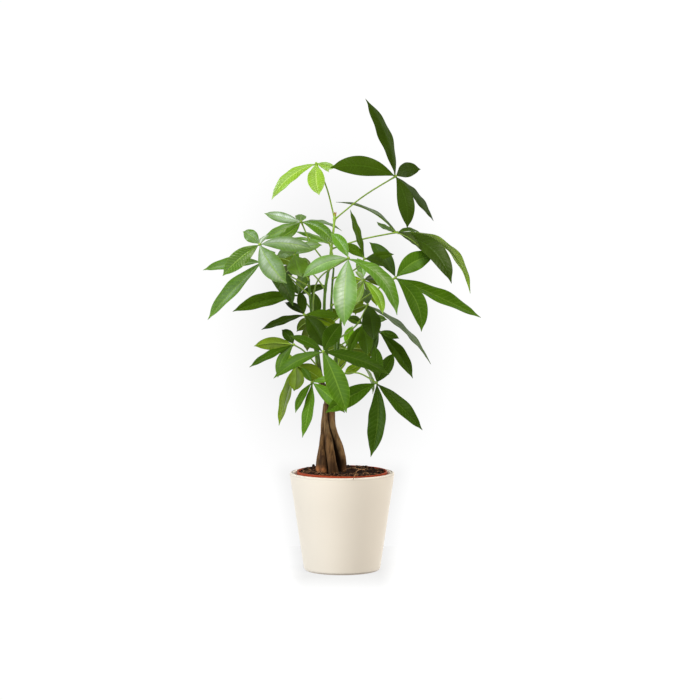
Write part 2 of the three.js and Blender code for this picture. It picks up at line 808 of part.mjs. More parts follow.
// Faces over stations of six points, three on the upper side and three below them. Both sides
// are split along the same diagonals, so the blade keeps its thickness.
function bladeFaces(stations) {
  const faces = [0, 3, 4, 0, 4, 1, 1, 4, 5, 1, 5, 2];
  for (let station = 0; station + 1 < stations; station += 1) {
    const a = station * 6;
    const b = a + 6;
    faces.push(a, a + 1, b, a + 1, b + 1, b);
    faces.push(a + 1, a + 2, b + 2, a + 1, b + 2, b + 1);
    faces.push(a + 3, b + 3, a + 4, a + 4, b + 3, b + 4);
    faces.push(a + 4, b + 5, a + 5, a + 4, b + 4, b + 5);
    faces.push(a, b, a + 3, b, b + 3, a + 3);
    faces.push(a + 2, a + 5, b + 2, b + 2, a + 5, b + 5);
  }
  const end = (stations - 1) * 6;
  faces.push(end, end + 4, end + 3, end, end + 1, end + 4);
  faces.push(end + 1, end + 5, end + 4, end + 1, end + 2, end + 5);
  return faces;
}

// A leaf: leaflets joined in a short collar that stands on the end of the stalk.
function leaf(row) {
  const hub = seen(...row.hub);
  const stalk = stalkCurve(row);
  const rise = hub.clone().sub(stalk.getPointAt(1)).normalize();
  const collar = new THREE.CylinderGeometry(
    COLLAR_RADIUS, STALK_RADIUS, COLLAR_HEIGHT, COLLAR_SIDES);
  collar.applyQuaternion(
    new THREE.Quaternion().setFromUnitVectors(new THREE.Vector3(0, 1, 0), rise));
  collar.translate(hub.x, hub.y, hub.z);
  return joined([collar, ...row.leaflets.map((blade) => leaflet(hub, blade))]);
}

const tree = new THREE.Group();

function add(name, geometry, look) {
  const mesh = new THREE.Mesh(geometry, new THREE.MeshStandardMaterial({ metalness: 0, ...look }));
  mesh.name = name;
  tree.add(mesh);
}

add('outer_pot', outerPot(), { color: 0xe9e0cf, roughness: 0.3 });
add('nursery_pot', nurseryPot(), { color: 0xb5553a, roughness: 0.6 });
add('soil', soil(), { color: 0x2e2018, roughness: 0.98 });
for (let index = 0; index < GROOVE_ANGLES.length; index += 1) {
  add(`trunk_strand_${index + 1}`, strand(index), BARK);
}
for (const name of Object.keys(STEMS)) {
  add(name, stemWithStalks(name), STEM_GREEN);
}
for (const [name, row] of Object.entries(LEAVES)) {
  add(name, leaf(row), row.look);
}

export default tree;
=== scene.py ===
# A potted money tree: glazed pot, nursery pot, soil, five twisted trunks, green stems and leaves.
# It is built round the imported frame, in metres, +Z up, with the photographed side facing -Y.

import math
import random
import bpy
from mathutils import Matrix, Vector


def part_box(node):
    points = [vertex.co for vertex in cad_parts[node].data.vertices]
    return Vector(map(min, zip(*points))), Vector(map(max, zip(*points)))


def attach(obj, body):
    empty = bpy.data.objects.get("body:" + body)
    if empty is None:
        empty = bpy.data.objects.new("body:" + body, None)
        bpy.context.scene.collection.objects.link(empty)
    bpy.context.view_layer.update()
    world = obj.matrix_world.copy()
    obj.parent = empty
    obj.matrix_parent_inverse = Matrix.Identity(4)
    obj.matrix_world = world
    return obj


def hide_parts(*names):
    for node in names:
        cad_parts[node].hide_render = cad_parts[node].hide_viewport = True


bl_info = {
    "name": "Potted money tree",
    "version": (1, 0, 0),
    "blender": (4, 5, 0),
    "location": "View3D > Sidebar > Money Tree",
    "description": "Builds a potted money tree with a twisted trunk and hand-shaped leaves",
    "category": "Add Mesh",
}

from collections import namedtuple

import bpy
import numpy as np
from bpy.props import FloatProperty, FloatVectorProperty, IntProperty, PointerProperty
from bpy.types import Operator, Panel, PropertyGroup
from mathutils import Vector, noise

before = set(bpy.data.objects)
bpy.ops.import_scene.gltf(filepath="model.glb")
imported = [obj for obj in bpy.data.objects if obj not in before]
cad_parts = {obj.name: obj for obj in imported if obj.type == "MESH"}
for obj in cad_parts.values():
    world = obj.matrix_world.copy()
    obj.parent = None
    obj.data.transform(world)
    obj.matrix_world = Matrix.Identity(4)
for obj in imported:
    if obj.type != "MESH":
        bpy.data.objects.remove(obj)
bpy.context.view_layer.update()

MM = 0.001

POT_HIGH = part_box("outer_pot")[1]
NURSERY_LOW, NURSERY_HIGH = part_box("nursery_pot")
SOIL_LOW, SOIL_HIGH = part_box("soil")

# The eye of the photograph, in millimetres. Points of the plant are written as they show from it:
# x and z where the sight line crosses the plane y = 0, then the depth y along that line.
EYE = Vector((10.6, -4000, 630))
EYE_PITCH = 4.79

# Trunk: height, axis x and radius
TRUNK_SECTIONS = [
    (86, -14.5, 13.5),
    (104, -14.5, 17),
    (122, -14.7, 20.4),
    (132, -14.7, 20.8),
    (142, -14.5, 20.4),
    (152, -14.5, 19.6),
    (162, -15, 18),
    (172, -15.4, 15.8),
    (182, -16.4, 12.6),
    (192, -17.8, 10.6),
    (202, -18.2, 9.2),
    (212, -17.8, 8.6),
    (222, -17, 8.2),
]
STRAND_FOOT = 86
STRAND_TOP = 222
TWIST_START = 132
TWIST_END = 205
TWIST_EASE = 1.3

# The gap between the second and the third strand, which opens towards the soil: height, and how far
# each of the two stands back from their groove, in degrees
GAP_HEIGHTS = [86, 132, 147, 165, 180, 222]
GAP_BEFORE = [3, 3, 12, 8, 0, 0]
GAP_AFTER = [15, 15, 17, 5, 0, 0]
GAP_STRAND = 2

# Grooves between the strands: angle from the front at the soil and at the top of the twist
GROOVE_ANGLES = [(-54, -135), (-16, -65), (45, 0), (125, 75), (215, 148)]

# The five green stems: the strand that each stands on, its radius at the foot and at the tip, and
# its route, in points as seen: x, z, depth.
Stem = namedtuple("Stem", "strand radius route")
STEMS = {
    "stem_leader": Stem(2, (2.7, 1.5), [
        (-19, 262, -1), (-22, 310, 1), (-23.5, 350, 2), (-22, 375, 2), (-18, 400, 1),
        (-14.5, 425, 0), (-11.5, 450, -1), (-9.5, 472, -2),
    ]),
    "stem_right": Stem(3, (2.5, 1.3), [
        (-8, 255, -2), (-9, 300, 3), (-14, 345, 8), (-13, 378, 10), (-11, 402, 12),
    ]),
    "stem_left": Stem(1, (2.5, 1.3), [
        (-29, 252, -3), (-36, 300, -2), (-41, 345, 4), (-43, 372, 6), (-44, 388, 7),
    ]),
    "stem_back": Stem(4, (2.5, 1.2), [
        (-11, 255, 12), (-5, 300, 22), (0, 350, 30), (4, 385, 34),
    ]),
    "stem_short": Stem(5, (2.4, 1.1), [
        (-25, 250, 10), (-31, 285, 19), (-33, 320, 27), (-31, 345, 33),
    ]),
}

# Each leaf: its stem and the height where its stalk leaves it, its tone and finish, how steeply the
# halves of its leaflets rise from the midrib (negative where they droop), the stalk's middle point,
# the hub where the leaflets meet, and a row for each leaflet. A row gives the tip's x, z and depth,
# the width that shows (negative where the underside shows), how far the middle arches up, how far it
# bulges towards the front, and its shade, where -1 is dark, 0 is the leaf's tone and 1 is light.
# A leaflet's shade is painted light and shade, together with its own lighter or darker tone.
Leaf = namedtuple("Leaf", "stem height tone finish fold stalk hub leaflets")
LEAVES = {
    "leaf_top_right": Leaf("stem_leader", 467, "old", "dull", -0.25, (29, 498, -5), (71, 524, -12), [
        (31, 626, -8, 17, 8, 5, -0.4),
        (-16, 535, -30, 26, 8, 8, 0.2),
        (104, 533, 38, 20, 4, -4, -0.4),
        (86, 455, -32, 22, 6, 8, -0.3),
        (121, 465, -5, 10, 5, 3, -0.6),
    ]),
    "leaf_top_left": Leaf("stem_leader", 468, "young", "waxy", 0.25, (-20, 508, 2), (-34, 541, 6), [
        (-93, 493, 4, 15, 8, 2, -0.12),
        (-30, 499, -34, 23, -2, 6, -0.12),
        (-8, 536, -16, 10, -1, 2, -0.2),
        (-17, 529, 30, 8, 3, 2, 0.4),
    ]),
    "leaf_left_front": Leaf("stem_left", 366, "mature", "waxy", 0.28, (-88, 408, -18), (-109, 434, -52), [
        (-131, 451, -30, 17, 2, 2, -0.18),
        (-97, 447, -16, 6, 1, 2, -0.1),
        (-158, 392, -70, 22, 3, 4, 0),
        (-38, 427, -52, 19, 5, 6, -0.1),
        (-73, 382, -92, 29, -3, 8, -0.22),
    ]),
    "leaf_upper_left": Leaf("stem_leader", 404, "mature", "waxy", 0.28, (-41, 436, 16), (-54, 464, 16), [
        (-53, 474, 52, 15, 1, 0, -0.1),
        (-103, 475, 26, 14, 0, 3, 0),
        (-106, 440, 2, 13, 0, 4, -0.1),
        (-88, 441, -14, 13, -3, 4, 0),
        (-9, 432, -16, 16, 7, 4, -0.2),
        (0, 452, 22, 4, 5, 0, -0.4),
    ]),
    "leaf_far_left": Leaf("stem_left", 378, "mature", "satin", 0.45, (-76, 396, 2), (-106, 411, -8), [
        (-184, 400, -4, 15, 3, 3, -0.2),
        (-178, 334, -26, 18, 2, 5, -0.1),
        (-65, 352, -36, 23, 7, 6, -1.1),
        (-88, 424, 38, 12, 2, 0, -0.2),
    ]),
    "leaf_upper_thin": Leaf("stem_leader", 392, "mature", "waxy", -0.4, (-12, 416, 20), (-17, 436, 28), [
        (-62, 451, 36, 6, 3, 0, 0.3),
        (-65, 443, 24, 5, 2, 0, 0.5),
        (-30, 449, 62, 10, 1, 0, -0.2),
        (4, 434, 46, 9, 2, 0, -0.2),
    ]),
    "leaf_left_inner": Leaf("stem_left", 386, "old", "waxy", 0.25, (-53, 402, 0), (-63, 420, -12), [
        (-26, 433, -20, 14, 4, 2, 1.1),
        (-54, 391, -44, 28, 0, 5, 0.9),
        (-86, 417, 6, 13, 4, 2, 0.8),
        (-72, 440, 26, 12, 0, 0, 0.6),
    ]),
    "leaf_left_low": Leaf("stem_short", 332, "old", "dull", 0.4, (-44, 352, 24), (-57, 367, 16), [
        (-145, 345, 8, 19, 4, 4, 0.6),
        (-45, 396, 44, 16, 3, 0, 0.6),
        (-19, 379, 42, 10, 2, 0, -0.1),
        (-84, 388, 48, 12, 3, 0, 0.2),
    ]),
    "leaf_centre_front": Leaf("stem_left", 328, "fresh", "waxy", 0.3, (-32, 386, -38), (8.5, 416, -75), [
        (-52, 390, -70, 19, 6, 6, -0.25),
        (3, 325.5, -114, 31, 2, 8, -0.4),
        (73, 340, -92, 19, 15, 6, -0.6),
        (-15, 449, -42, 16, 3, 4, -0.5),
    ]),
    "leaf_centre_dark": Leaf("stem_right", 388, "old", "dull", 0.15, (16, 400, -12), (30, 415, -34), [
        (11, 480, -24, 8.5, 0.5, 3, 0.3),
        (69, 421, -44, 11, 1, 4, 0.15),
        (0, 433, -26, 13, 3, 2, 0.8),
        (58, 404, -62, 12, 4, 3, -0.3),
    ]),
    "leaf_right": Leaf("stem_right", 330, "mature", "dull", 0.3, (35, 367, -26), (71, 390, -25), [
        (36, 437, -8, 19, 4, 3, -1),
        (122, 419, 4, 25, 6, 3, -0.1),
        (184, 337, -34, 17, 1, 5, -0.6),
        (105, 318, -62, 24, 11, 8, -0.6),
    ]),
    "leaf_upper_right": Leaf("stem_leader", 428, "old", "satin", 0.25, (28, 441, 16), (73, 450, 12), [
        (-8, 490, 28, 3, 10, 2, 0.05),
        (46, 464, 46, 6, -2, 0, 0.6),
        (104, 449, 36, 5, 4, 0, 0.45),
        (145, 382, -24, 24, 15, 7, -0.12),
        (170, 369, 10, -9, 26, 2, 0.9),
        (104, 429, -22, -9, 3, 2, -1.2),
    ]),
    "leaf_centre_young": Leaf("stem_right", 352, "young", "waxy", 0.25, (14, 372, -30), (29, 386, -60), [
        (54, 341, -76, 13, 6, 4, 0.25),
        (11, 350, -74, 9, -3, 3, 0),
        (61, 390, -42, 10, 4, 2, -2.2),
        (17, 398, -46, 7, 2, 0, -0.4),
    ]),
    "leaf_centre_right": Leaf("stem_right", 305, "old", "satin", 0.25, (20, 328, -14), (34, 354, -18), [
        (41, 307, -58, 25, 2, 5, -0.3),
        (118, 275, -16, 7, 8, 3, 0.1),
        (29, 375, 24, 16, 1, 0, 0.15),
        (9, 345, 10, -12, 0, 0, -0.2),
    ]),
    "leaf_low_front": Leaf("stem_leader", 246, "mature", "dull", 0.2, (-24, 275, -50), (-25, 292, -92), [
        (-91, 256, -96, 15, 5, 4, -0.5),
        (6, 210, -122, 28, 2, 6, -0.2),
        (63, 261, -102, 18, 5, 5, -1.15),
        (-69, 313, -72, 12, 2, 3, -0.9),
        (0, 330, -54, 23, 2, 2, -0.8),
    ]),
    "leaf_mid_left": Leaf("stem_left", 300, "old", "dull", 0.25, (-46, 328, -12), (-50, 341, -30), [
        (-107, 321, -36, 10, 1.5, 3, -0.9),
        (-23, 296, -66, 24, 3, 6, -0.35),
        (-76, 357, -4, 10, 2, 0, -1.3),
        (-56, 372, 0, 13, 0, 0, -0.35),
        (-2, 337, -40, 11, 3, 2, 0.4),
        (-3, 322, -24, -12, 3, 0, 0.8),
    ]),
    "leaf_mid_left_small": Leaf("stem_left", 272, "mature", "dull", 0.2, (-50, 292, -20), (-64, 301, -42), [
        (-117, 299, -46, -17, 3, 3, -0.4),
        (-123, 271, -58, 10, 2, 4, -0.9),
        (-85, 257, -66, 14, 5, 3, -0.1),
        (-80, 321, -24, 14, 2, 2, -1.4),
    ]),
    "leaf_low_left": Leaf("stem_left", 244, "mature", "dull", 0.2, (-34, 254, -26), (-40, 251, -50), [
        (-62, 210, -62, 10, 3, 3, -0.3),
        (-53, 177, -72, 14, -2, 4, 0),
        (4, 210, -58, 18, 2, 3, 0.6),
        (-12, 258, -34, 8, 0, 1, 0.7),
        (-54, 271, -28, 9, 1, 1, -0.2),
    ]),
    "leaf_low_left_pale": Leaf("stem_short", 256, "mature", "satin", 0.25, (-46, 268, 8), (-62, 274, -4), [
        (-84, 193, -18, -13, 1, 3, 0.6),
        (-64, 239, -34, -21, -2, 3, 0.1),
        (-24, 252, -17, -22, 2, 0, -0.5),
        (-84, 288, 28, -12, 2, 0, 0),
    ]),
    "leaf_low_right": Leaf("stem_right", 262, "mature", "dull", 0.4, (22, 263, -34), (46, 250, -62), [
        (-22, 210, -74, 24, 2, 4, -0.2),
        (38, 151, -84, 23, -5.5, 5, -1.1),
        (107, 187, -74, 18, 1, 5, -1.1),
        (68, 290, -34, 17, -1, 3, -1.2),
        (43, 300, -38, 16, 2, 2, -0.85),
    ]),
    "leaf_right_inner": Leaf("stem_back", 296, "old", "satin", 0.25, (24, 316, 24), (49, 319, 22), [
        (94, 256, 4, 17, 4, 4, 0.3),
        (76, 309, 10, 10, 1, 2, 0.9),
        (39, 284, 4, 10, 1, 2, 0.6),
        (38, 332, 54, 10, 2, 0, 0),
    ]),
    "leaf_centre_low": Leaf("stem_right", 280, "old", "satin", 0.4, (16, 314, 4), (28, 328, 2), [
        (33, 286, -26, 20, 1, 4, 0.6),
        (8, 288, -18, 13, 2, 3, 1.05),
        (5, 336, -14, 11, 2, 1, 0.7),
        (60, 334, 20, 12, 4, 0, 1.2),
    ]),
    "leaf_low_inner": Leaf("stem_back", 262, "young", "waxy", 0.2, (10, 281, 26), (29, 274, 16), [
        (3, 261, -4, -12, 2, 0, -0.4),
        (41, 235, 6, 5, 4, 2, -1.15),
        (56, 262, 30, 12, 2, 0, -0.3),
        (34, 289, 46, -10, 1, 0, -0.3),
    ]),
    "leaf_back_left": Leaf("stem_short", 305, "old", "dull", 0.25, (-36, 322, 58), (-34, 334, 86), [
        (-60, 318, 112, -15, 4, -6, -0.8),
        (-46, 292, 128, -20, 4, -6, -0.8),
        (-10, 312, 132, -20, 4, -6, -0.6),
        (6, 340, 108, -16, 4, -4, -0.5),
        (-40, 372, 104, 16, 2, -2, 0.1),
    ]),
    "leaf_back_right": Leaf("stem_back", 352, "mature", "dull", 0.4, (18, 372, 58), (28, 388, 82), [
        (66, 378, 106, -17, 5, -5, -0.9),
        (46, 352, 122, -15, 3, -6, 0.3),
        (18, 340, 128, -20, 3, -6, 0),
        (-8, 372, 112, -17, 4, -5, 0.5),
        (20, 416, 96, 14, 2, -2, 0.7),
    ]),
    "leaf_back_high": Leaf("stem_leader", 374, "mature", "dull", 0.3, (-38, 394, 36), (-60, 407, 66), [
        (-94, 414, 84, -15, 4, -4, -0.9),
        (-80, 384, 106, -17, 4, -6, -1.9),
        (-48, 380, 112, -18, 3, -6, -0.8),
        (-40, 406, 100, -14, 3, -4, -0.6),
        (-66, 428, 92, 12, 1, 0, 0),
    ]),
    "leaf_back_low": Leaf("stem_back", 282, "mature", "dull", 0.25, (4, 294, 58), (8, 296, 84), [
        (44, 284, 106, -17, 5, -5, -0.5),
        (22, 272, 122, -15, 3, -6, -0.2),
        (-6, 262, 126, -18, 4, -6, 0.6),
        (-24, 290, 104, -15, 3, -4, -0.8),
        (14, 326, 98, 14, 2, -2, 1),
    ]),
}

# How much pale wax and painted sheen lies on the leaflets, in the order of their leaf's rows; the
# others have none. More of it lies on the half where the across value is positive, or negative for
# a negative value.
LEAF_WAX_AND_SHEEN = {
    "leaf_top_right": [0, 0, 0, 0, 0.01],
    "leaf_top_left": [0.02, 0.02, 0, 0],
    "leaf_left_front": [-0.03, -0.24, 0, -0.15, 0.13],
    "leaf_upper_left": [0, 0.3, -0.04, 0, 0, -0.04],
    "leaf_far_left": [-0.05, -0.05, 0, 0],
    "leaf_upper_thin": [0, -0.04, 0, 0],
    "leaf_left_inner": [-0.08, 0, 0, 0],
    "leaf_left_low": [0, -0.04, 0, 0],
    "leaf_centre_front": [0.11, 0.13, 0, 0],
    "leaf_right": [0.01, 0.01, 0, 0],
    "leaf_upper_right": [0.03, -0.02, 0, 0, 0.05, 0.01],
    "leaf_centre_young": [-0.02, -0.04, 0, 0.1],
    "leaf_centre_right": [0, -0.03, 0, 0],
    "leaf_low_front": [0.01, -0.01, 0, 0, 0],
    "leaf_mid_left_small": [0.01, 0, 0.02, 0],
    "leaf_low_left": [0, 0, 0.03, -0.05, 0.01],
    "leaf_low_left_pale": [0.16, 0.04, 0, 0],
    "leaf_right_inner": [0, 0, -0.03, 0],
    "leaf_centre_low": [0, 0, 0, 0.06],
    "leaf_low_inner": [0, 0.14, 0, 0],
    "leaf_back_right": [0, 0, 0, 0, 0.14],
    "leaf_back_high": [0, 0, 0, 0.1, 0],
}

# A loose root that hangs over the rim at the front, and its side branch, as seen: x, z, depth
ROOT_FIBRE = [(30, 134, -38), (24, 134.5, -48), (21, 133, -58), (19, 131, -66), (17, 126, -71.5),
              (14.5, 120.5, -71.2)]
ROOT_BRANCH = [(24, 134.5, -48), (16, 136.5, -44), (7, 135.5, -38), (2, 133, -32)]

# The bud at the top of the leader: height over the stem's tip and radius
BUD_PROFILE = [(-1, 1.2), (0.5, 1.8), (1.5, 1.8), (3, 1.2), (4.2, 0.6), (5, 0.25)]
BUD_SCALE_PROFILE = [(-0.5, 0.9), (1, 1.1), (2.5, 0.8), (4, 0.4), (5, 0.15)]


def rgb(red, green, blue):
    """A colour as a screen shows it, 0 to 255, turned into the linear colour that a shader takes."""
    return tuple(
        (c / 12.92 if c <= 0.04045 else ((c + 0.055) / 1.055) ** 2.4)
        for c in (red / 255, green / 255, blue / 255)
    )


def number(name, description, value, kind=FloatProperty, **rest):
    """A setting that is zero or more, unless it has other limits."""
    return kind(name=name, description=description, default=value, **{"min": 0, **rest})


def colour(name, description, red, green, blue):
    """A colour setting."""
    return number(name, description, rgb(red, green, blue), FloatVectorProperty,
                  subtype="COLOR", size=3, max=1)


def length(name, description, millimetres):
    """A length setting, in metres."""
    return number(name, description, millimetres * MM, subtype="DISTANCE", unit="LENGTH")


def power(name, description, watts):
    """A setting for the power of a light."""
    return number(name, description, watts, subtype="POWER", unit="POWER")


def count(name, description, value):
    """A whole-number setting."""
    return number(name, description, value, IntProperty)


# Settings


class PotSettings(PropertyGroup):
    """Sizes and colours of the glazed pot and of the nursery pot inside it."""

    rim_radius: length("Rim radius", "Outer radius of the glazed pot at its rim", POT_HIGH.x / MM)
    height: length("Height", "Height of the glazed pot", POT_HIGH.z / MM)
    foot_radius: length("Foot radius", "Outer radius of the glazed pot at its foot", 50.5)
    wall: length("Wall", "Thickness of the glazed pot's wall", 7)
    floor: length("Floor", "Thickness of the glazed pot's floor", 8)
    lip_round: length("Lip rounding", "Radius of the rounded lip", 3.1)
    foot_round: length("Foot rounding", "Radius of the rounded foot", 3.6)
    glaze: colour("Glaze", "Cream glaze", 239, 229, 214)
    clay: colour("Clay", "Bare clay under the foot", 205, 170, 135)
    nursery_wall: length("Nursery wall", "Thickness of the nursery pot's wall", 1.4)
    nursery_base: length("Nursery base", "Radius of the nursery pot's base", 41)
    nursery_shoulder: length("Nursery shoulder", "Radius of the nursery pot under its band", 57.1)
    nursery_band: length("Nursery band", "Height of the nursery pot's rim band", 13)
    nursery_step: length("Nursery step", "How far the rim band stands out", 2)
    rim_drop: length("Rim drop", "How far the nursery pot's rim sinks at the front right", 0.9)
    drain_radius: length("Drain hole", "Radius of a drain hole", 4)
    drain_ring: length("Drain ring", "Radius of the ring of drain holes", 26)
    drain_holes: count("Drain holes", "Number of drain holes", 6)
    terracotta: colour("Terracotta", "Plastic of the nursery pot", 154, 62, 30)


class SoilSettings(PropertyGroup):
    """Grain and colours of the potting soil."""

    edge_height: length("Edge height", "Height of the soil at the pot's wall", 129)
    mound: length("Mound", "How far the soil rises towards the middle", 1.5)
    back_left: length("Back left", "How far the soil rises at the back left", 4.5)
    back_right: length("Back right", "How far the soil rises at the back right", 2.8)
    crumbs: count("Crumbs", "Loose crumbs on the soil", 900)
    fibres: count("Fibres", "Loose plant fibres on the soil", 90)
    seed: count("Seed", "Seed of the loose pieces", 7)
    soil_dark: colour("Wet soil", "Darkest soil", 24, 14, 9)
    soil_light: colour("Dry soil", "Lightest soil", 84, 52, 34)
    fibre: colour("Fibre", "Tan plant fibre", 176, 128, 88)


class TrunkSettings(PropertyGroup):
    """Relief and colours of the twisted trunks."""

    relief: length("Bark relief", "Height of the bark's ridges", 0.55)
    groove: number("Groove", "Depth of the grooves between the trunks, as a share of the radius",
                   0.32, max=0.6)
    bark: colour("Bark", "Brown bark", 130, 95, 58)
    bark_dark: colour("Bark grooves", "Dark bark in cracks", 56, 36, 20)
    bark_light: colour("Bark ridges", "Worn pale bark", 172, 140, 98)
    rust: colour("Rust", "Orange-brown patches near the soil", 176, 112, 66)


class LeafSettings(PropertyGroup):
    """Shape and colours of the leaves, and of the stems that carry them."""

    thickness: length("Blade thickness", "Thickness of a leaflet's blade", 0.45)
    slenderness: number("Slenderness", "Least width of a leaflet as a share of its length", 0.265,
                        min=0.05, max=1)
    vein_pairs: count("Vein pairs", "Pairs of side veins on a leaflet", 15)
    quilting: length("Quilting", "How far the blade rises between its side veins", 0.45)
    young: colour("Young leaf", "Fresh yellow-green blade", 129, 170, 20)
    fresh: colour("Fresh leaf", "Full-grown blade that is still fresh", 105, 160, 14)
    mature: colour("Mature leaf", "Mid green blade", 78, 118, 10)
    old: colour("Old leaf", "Dark green blade", 53, 76, 5)
    under_young: colour("Young underside", "Underside of a young leaf", 150, 190, 30)
    under_fresh: colour("Fresh underside", "Underside of a fresh leaf", 140, 180, 30)
    under_mature: colour("Mature underside", "Underside of a mature leaf", 120, 146, 26)
    under_old: colour("Old underside", "Underside of an old leaf", 108, 132, 20)
    vein_young: colour("Young veins", "Midrib of a young leaf", 188, 214, 110)
    vein_fresh: colour("Fresh veins", "Midrib of a fresh leaf", 170, 210, 120)
    vein_mature: colour("Mature veins", "Midrib of a mature leaf", 136, 172, 64)
    vein_old: colour("Old veins", "Midrib of an old leaf", 64, 92, 20)
    # Pale colour of painted sheen, with some real wax, laid on some leaflets
    wax_and_sheen_colour: colour("Wax", "Pale wax that lies on some leaflets", 226, 238, 226)
    stalk: colour("Stalk", "Leaf stalk", 140, 172, 50)
    stem: colour("Stem", "Green stem", 88, 124, 26)
    shoot: colour("Shoot", "Fresh top of the leader", 150, 184, 70)
    bud: colour("Bud", "Scales of the leader's bud", 150, 92, 44)
    wood: colour("Stem foot", "Woody foot of a stem", 116, 84, 56)
    seed: count("Seed", "Seed of the small differences between leaflets", 11)


class StageSettings(PropertyGroup):
    """Camera, floor and light."""

    lens: number("Lens", "Focal length", 155.7, min=1, subtype="DISTANCE_CAMERA")
    shift: number("Shift", "Upward shift of the view, as a share of its width", -0.001, min=-1)
    floor_size: length("Floor size", "Side of the pale floor", 420)
    paper: colour("Floor", "Pale floor", 97, 97, 97)
    near_glow: number("Near glow", "Light that the floor gives off at the pot", 0.69)
    far_glow: number("Far glow", "Light that the floor gives off far from the pot", 1)
    halo: length("Halo", "How far the soft shade on the floor reaches round the pot", 46)
    ring: length("Ring", "How far the soft shade on the backdrop reaches round the pot", 30)
    ring_shade: number("Ring shade", "Brightness of that shade at the pot", 0.885)
    backdrop: number("Backdrop", "Brightness of the plain backdrop", 1.02)
    backdrop_shade: number("Backdrop shade", "Brightness of the backdrop behind the plant", 0.8)
    shadow_flatness: number("Shadow flatness", "Width of the soft shadow on the backdrop as a "
                            "share of its height", 0.68)
    front_light: number("Front light", "Strength of the soft light from the front", 0.25)
    back_light: number("Back light", "Strength of the soft light from the backdrop", 0.5)
    under_light: number("Under light", "Strength of the soft light from below", 0.35)
    gloss_front: number("Front reflection", "Brightness of the dark room in reflections", 0.05)
    gloss_back: number("Back reflection", "Brightness of the backdrop in reflections", 0.7)
    gloss_under: number("Floor reflection", "Brightness of the floor in reflections", 1.7)
    key_power: power("Key light", "Power of the large light at the upper left", 48)
    side_power: power("Side light", "Power of the light at the left", 37)
    rim_power: power("Rim light", "Power of the light at the right, behind the plant", 44)
    fill_power: power("Fill light", "Power of the light at the upper right", 31.5)
    top_power: power("Top light", "Power of the large light overhead", 24)


# Helpers


def deselect():
    """Nothing stays selected, so that the next operator acts on its own piece alone."""
    if bpy.context.object and bpy.context.object.mode != "OBJECT":
        bpy.ops.object.mode_set(mode="OBJECT")
    bpy.ops.object.select_all(action="DESELECT")


def activate(*pieces):
    """These pieces are the selection, with the first of them active."""
    deselect()
    for piece in pieces:
        piece.select_set(True)
    bpy.context.view_layer.objects.active = pieces[0]


def named(name):
    """The piece just made, under its own name."""
    piece = bpy.context.active_object
    piece.name = name
    piece.data.name = name
    return piece


def own_copy(source):
    """A copy with its own mesh."""
    made = source.copy()
    made.data = source.data.copy()
    bpy.context.scene.collection.objects.link(made)
    return made


def select_where(piece, kind, test):
    """In edit mode, selects the edges or faces that pass the test."""
    bpy.ops.object.mode_set(mode="EDIT")
    bpy.ops.mesh.select_mode(type=kind)
    bpy.ops.mesh.select_all(action="DESELECT")
    bpy.ops.object.mode_set(mode="OBJECT")
    for item in piece.data.edges if kind == "EDGE" else piece.data.polygons:
        item.select = test(item)
    bpy.ops.object.mode_set(mode="EDIT")


def apply_modifiers(piece):
    """Applies every modifier of the piece, in order."""
    activate(piece)
    for modifier in list(piece.modifiers):
        bpy.ops.object.modifier_apply(modifier=modifier.name)


def settle(*pieces):
    """Puts each piece's place, turn and size into its mesh."""
    activate(*pieces)
    bpy.ops.object.transform_apply(location=True, rotation=True, scale=True)


def join(name, pieces):
    """Joins pieces into one, under the name given."""
    activate(*pieces)
    if len(pieces) > 1:
        bpy.ops.object.join()
    return named(name)


def cover(piece, *materials):
    """Gives the piece these materials in place of any that it has."""
    piece.data.materials.clear()
    for material in materials:
        piece.data.materials.append(material)


def finish_piece(piece, slot, *nodes):
    """The piece rides on the root body and stands for its nodes, which are hidden; the slot is not used."""
    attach(piece, "root")
    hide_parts(*nodes)


def smooth(piece, degrees=50):
    """Shades the piece smooth, but for edges sharper than the angle."""
    activate(piece)
    bpy.ops.object.shade_smooth_by_angle(angle=math.radians(degrees))


def grid(name, columns, rows):
    """A flat grid primitive with its places across (-1 to 1) and along (0 to 1)."""
    deselect()
    bpy.ops.mesh.primitive_grid_add(x_subdivisions=columns, y_subdivisions=rows, size=2)
    piece = named(name)
    flat = np.empty(3 * len(piece.data.vertices))
    piece.data.vertices.foreach_get("co", flat)
    flat = flat.reshape(-1, 3)
    return piece, flat[:, 0], (flat[:, 1] + 1) / 2


def move_vertices(piece, places):
    """Moves every vertex of the piece to its new place."""
    piece.data.vertices.foreach_set("co", np.ascontiguousarray(places, float).ravel())
    piece.data.update()


def mark_vertices(piece, name, values):
    """Gives every vertex of the piece its own value, under the name given."""
    attribute = piece.data.attributes.new(name, "FLOAT", "POINT")
    attribute.data.foreach_set("value", values)


# Vertices that are closer than this are one: on the seam of a wrapped grid, and in tubes
SEAM_GAP = 0.01 * MM
TUBE_GAP = 0.001 * MM


def close_skin(piece, gap, fill=True):
    """Merges vertices that are closer than the gap, fills holes and turns the faces outwards."""
    activate(piece)
    bpy.ops.object.mode_set(mode="EDIT")
    bpy.ops.mesh.select_all(action="SELECT")
    bpy.ops.mesh.remove_doubles(threshold=gap)
    bpy.ops.mesh.select_all(action="SELECT")
    if fill:
        bpy.ops.mesh.fill_holes(sides=0)
        bpy.ops.mesh.select_all(action="SELECT")
    bpy.ops.mesh.normals_make_consistent(inside=False)
    bpy.ops.object.mode_set(mode="OBJECT")


def seen(x, z, depth):
    """The point that is seen at x, z, moved along its sight line to the depth, in millimetres."""
    reach = (depth - EYE.y) / -EYE.y
    return Vector((EYE.x + (x - EYE.x) * reach, depth, EYE.z + (z - EYE.z) * reach))


def round_about(reach, turn, height=0.0, axis_x=0.0):
    """The point at a reach from an upright axis, turned from the front."""
    return Vector((axis_x + reach * math.sin(turn), -reach * math.cos(turn), height))


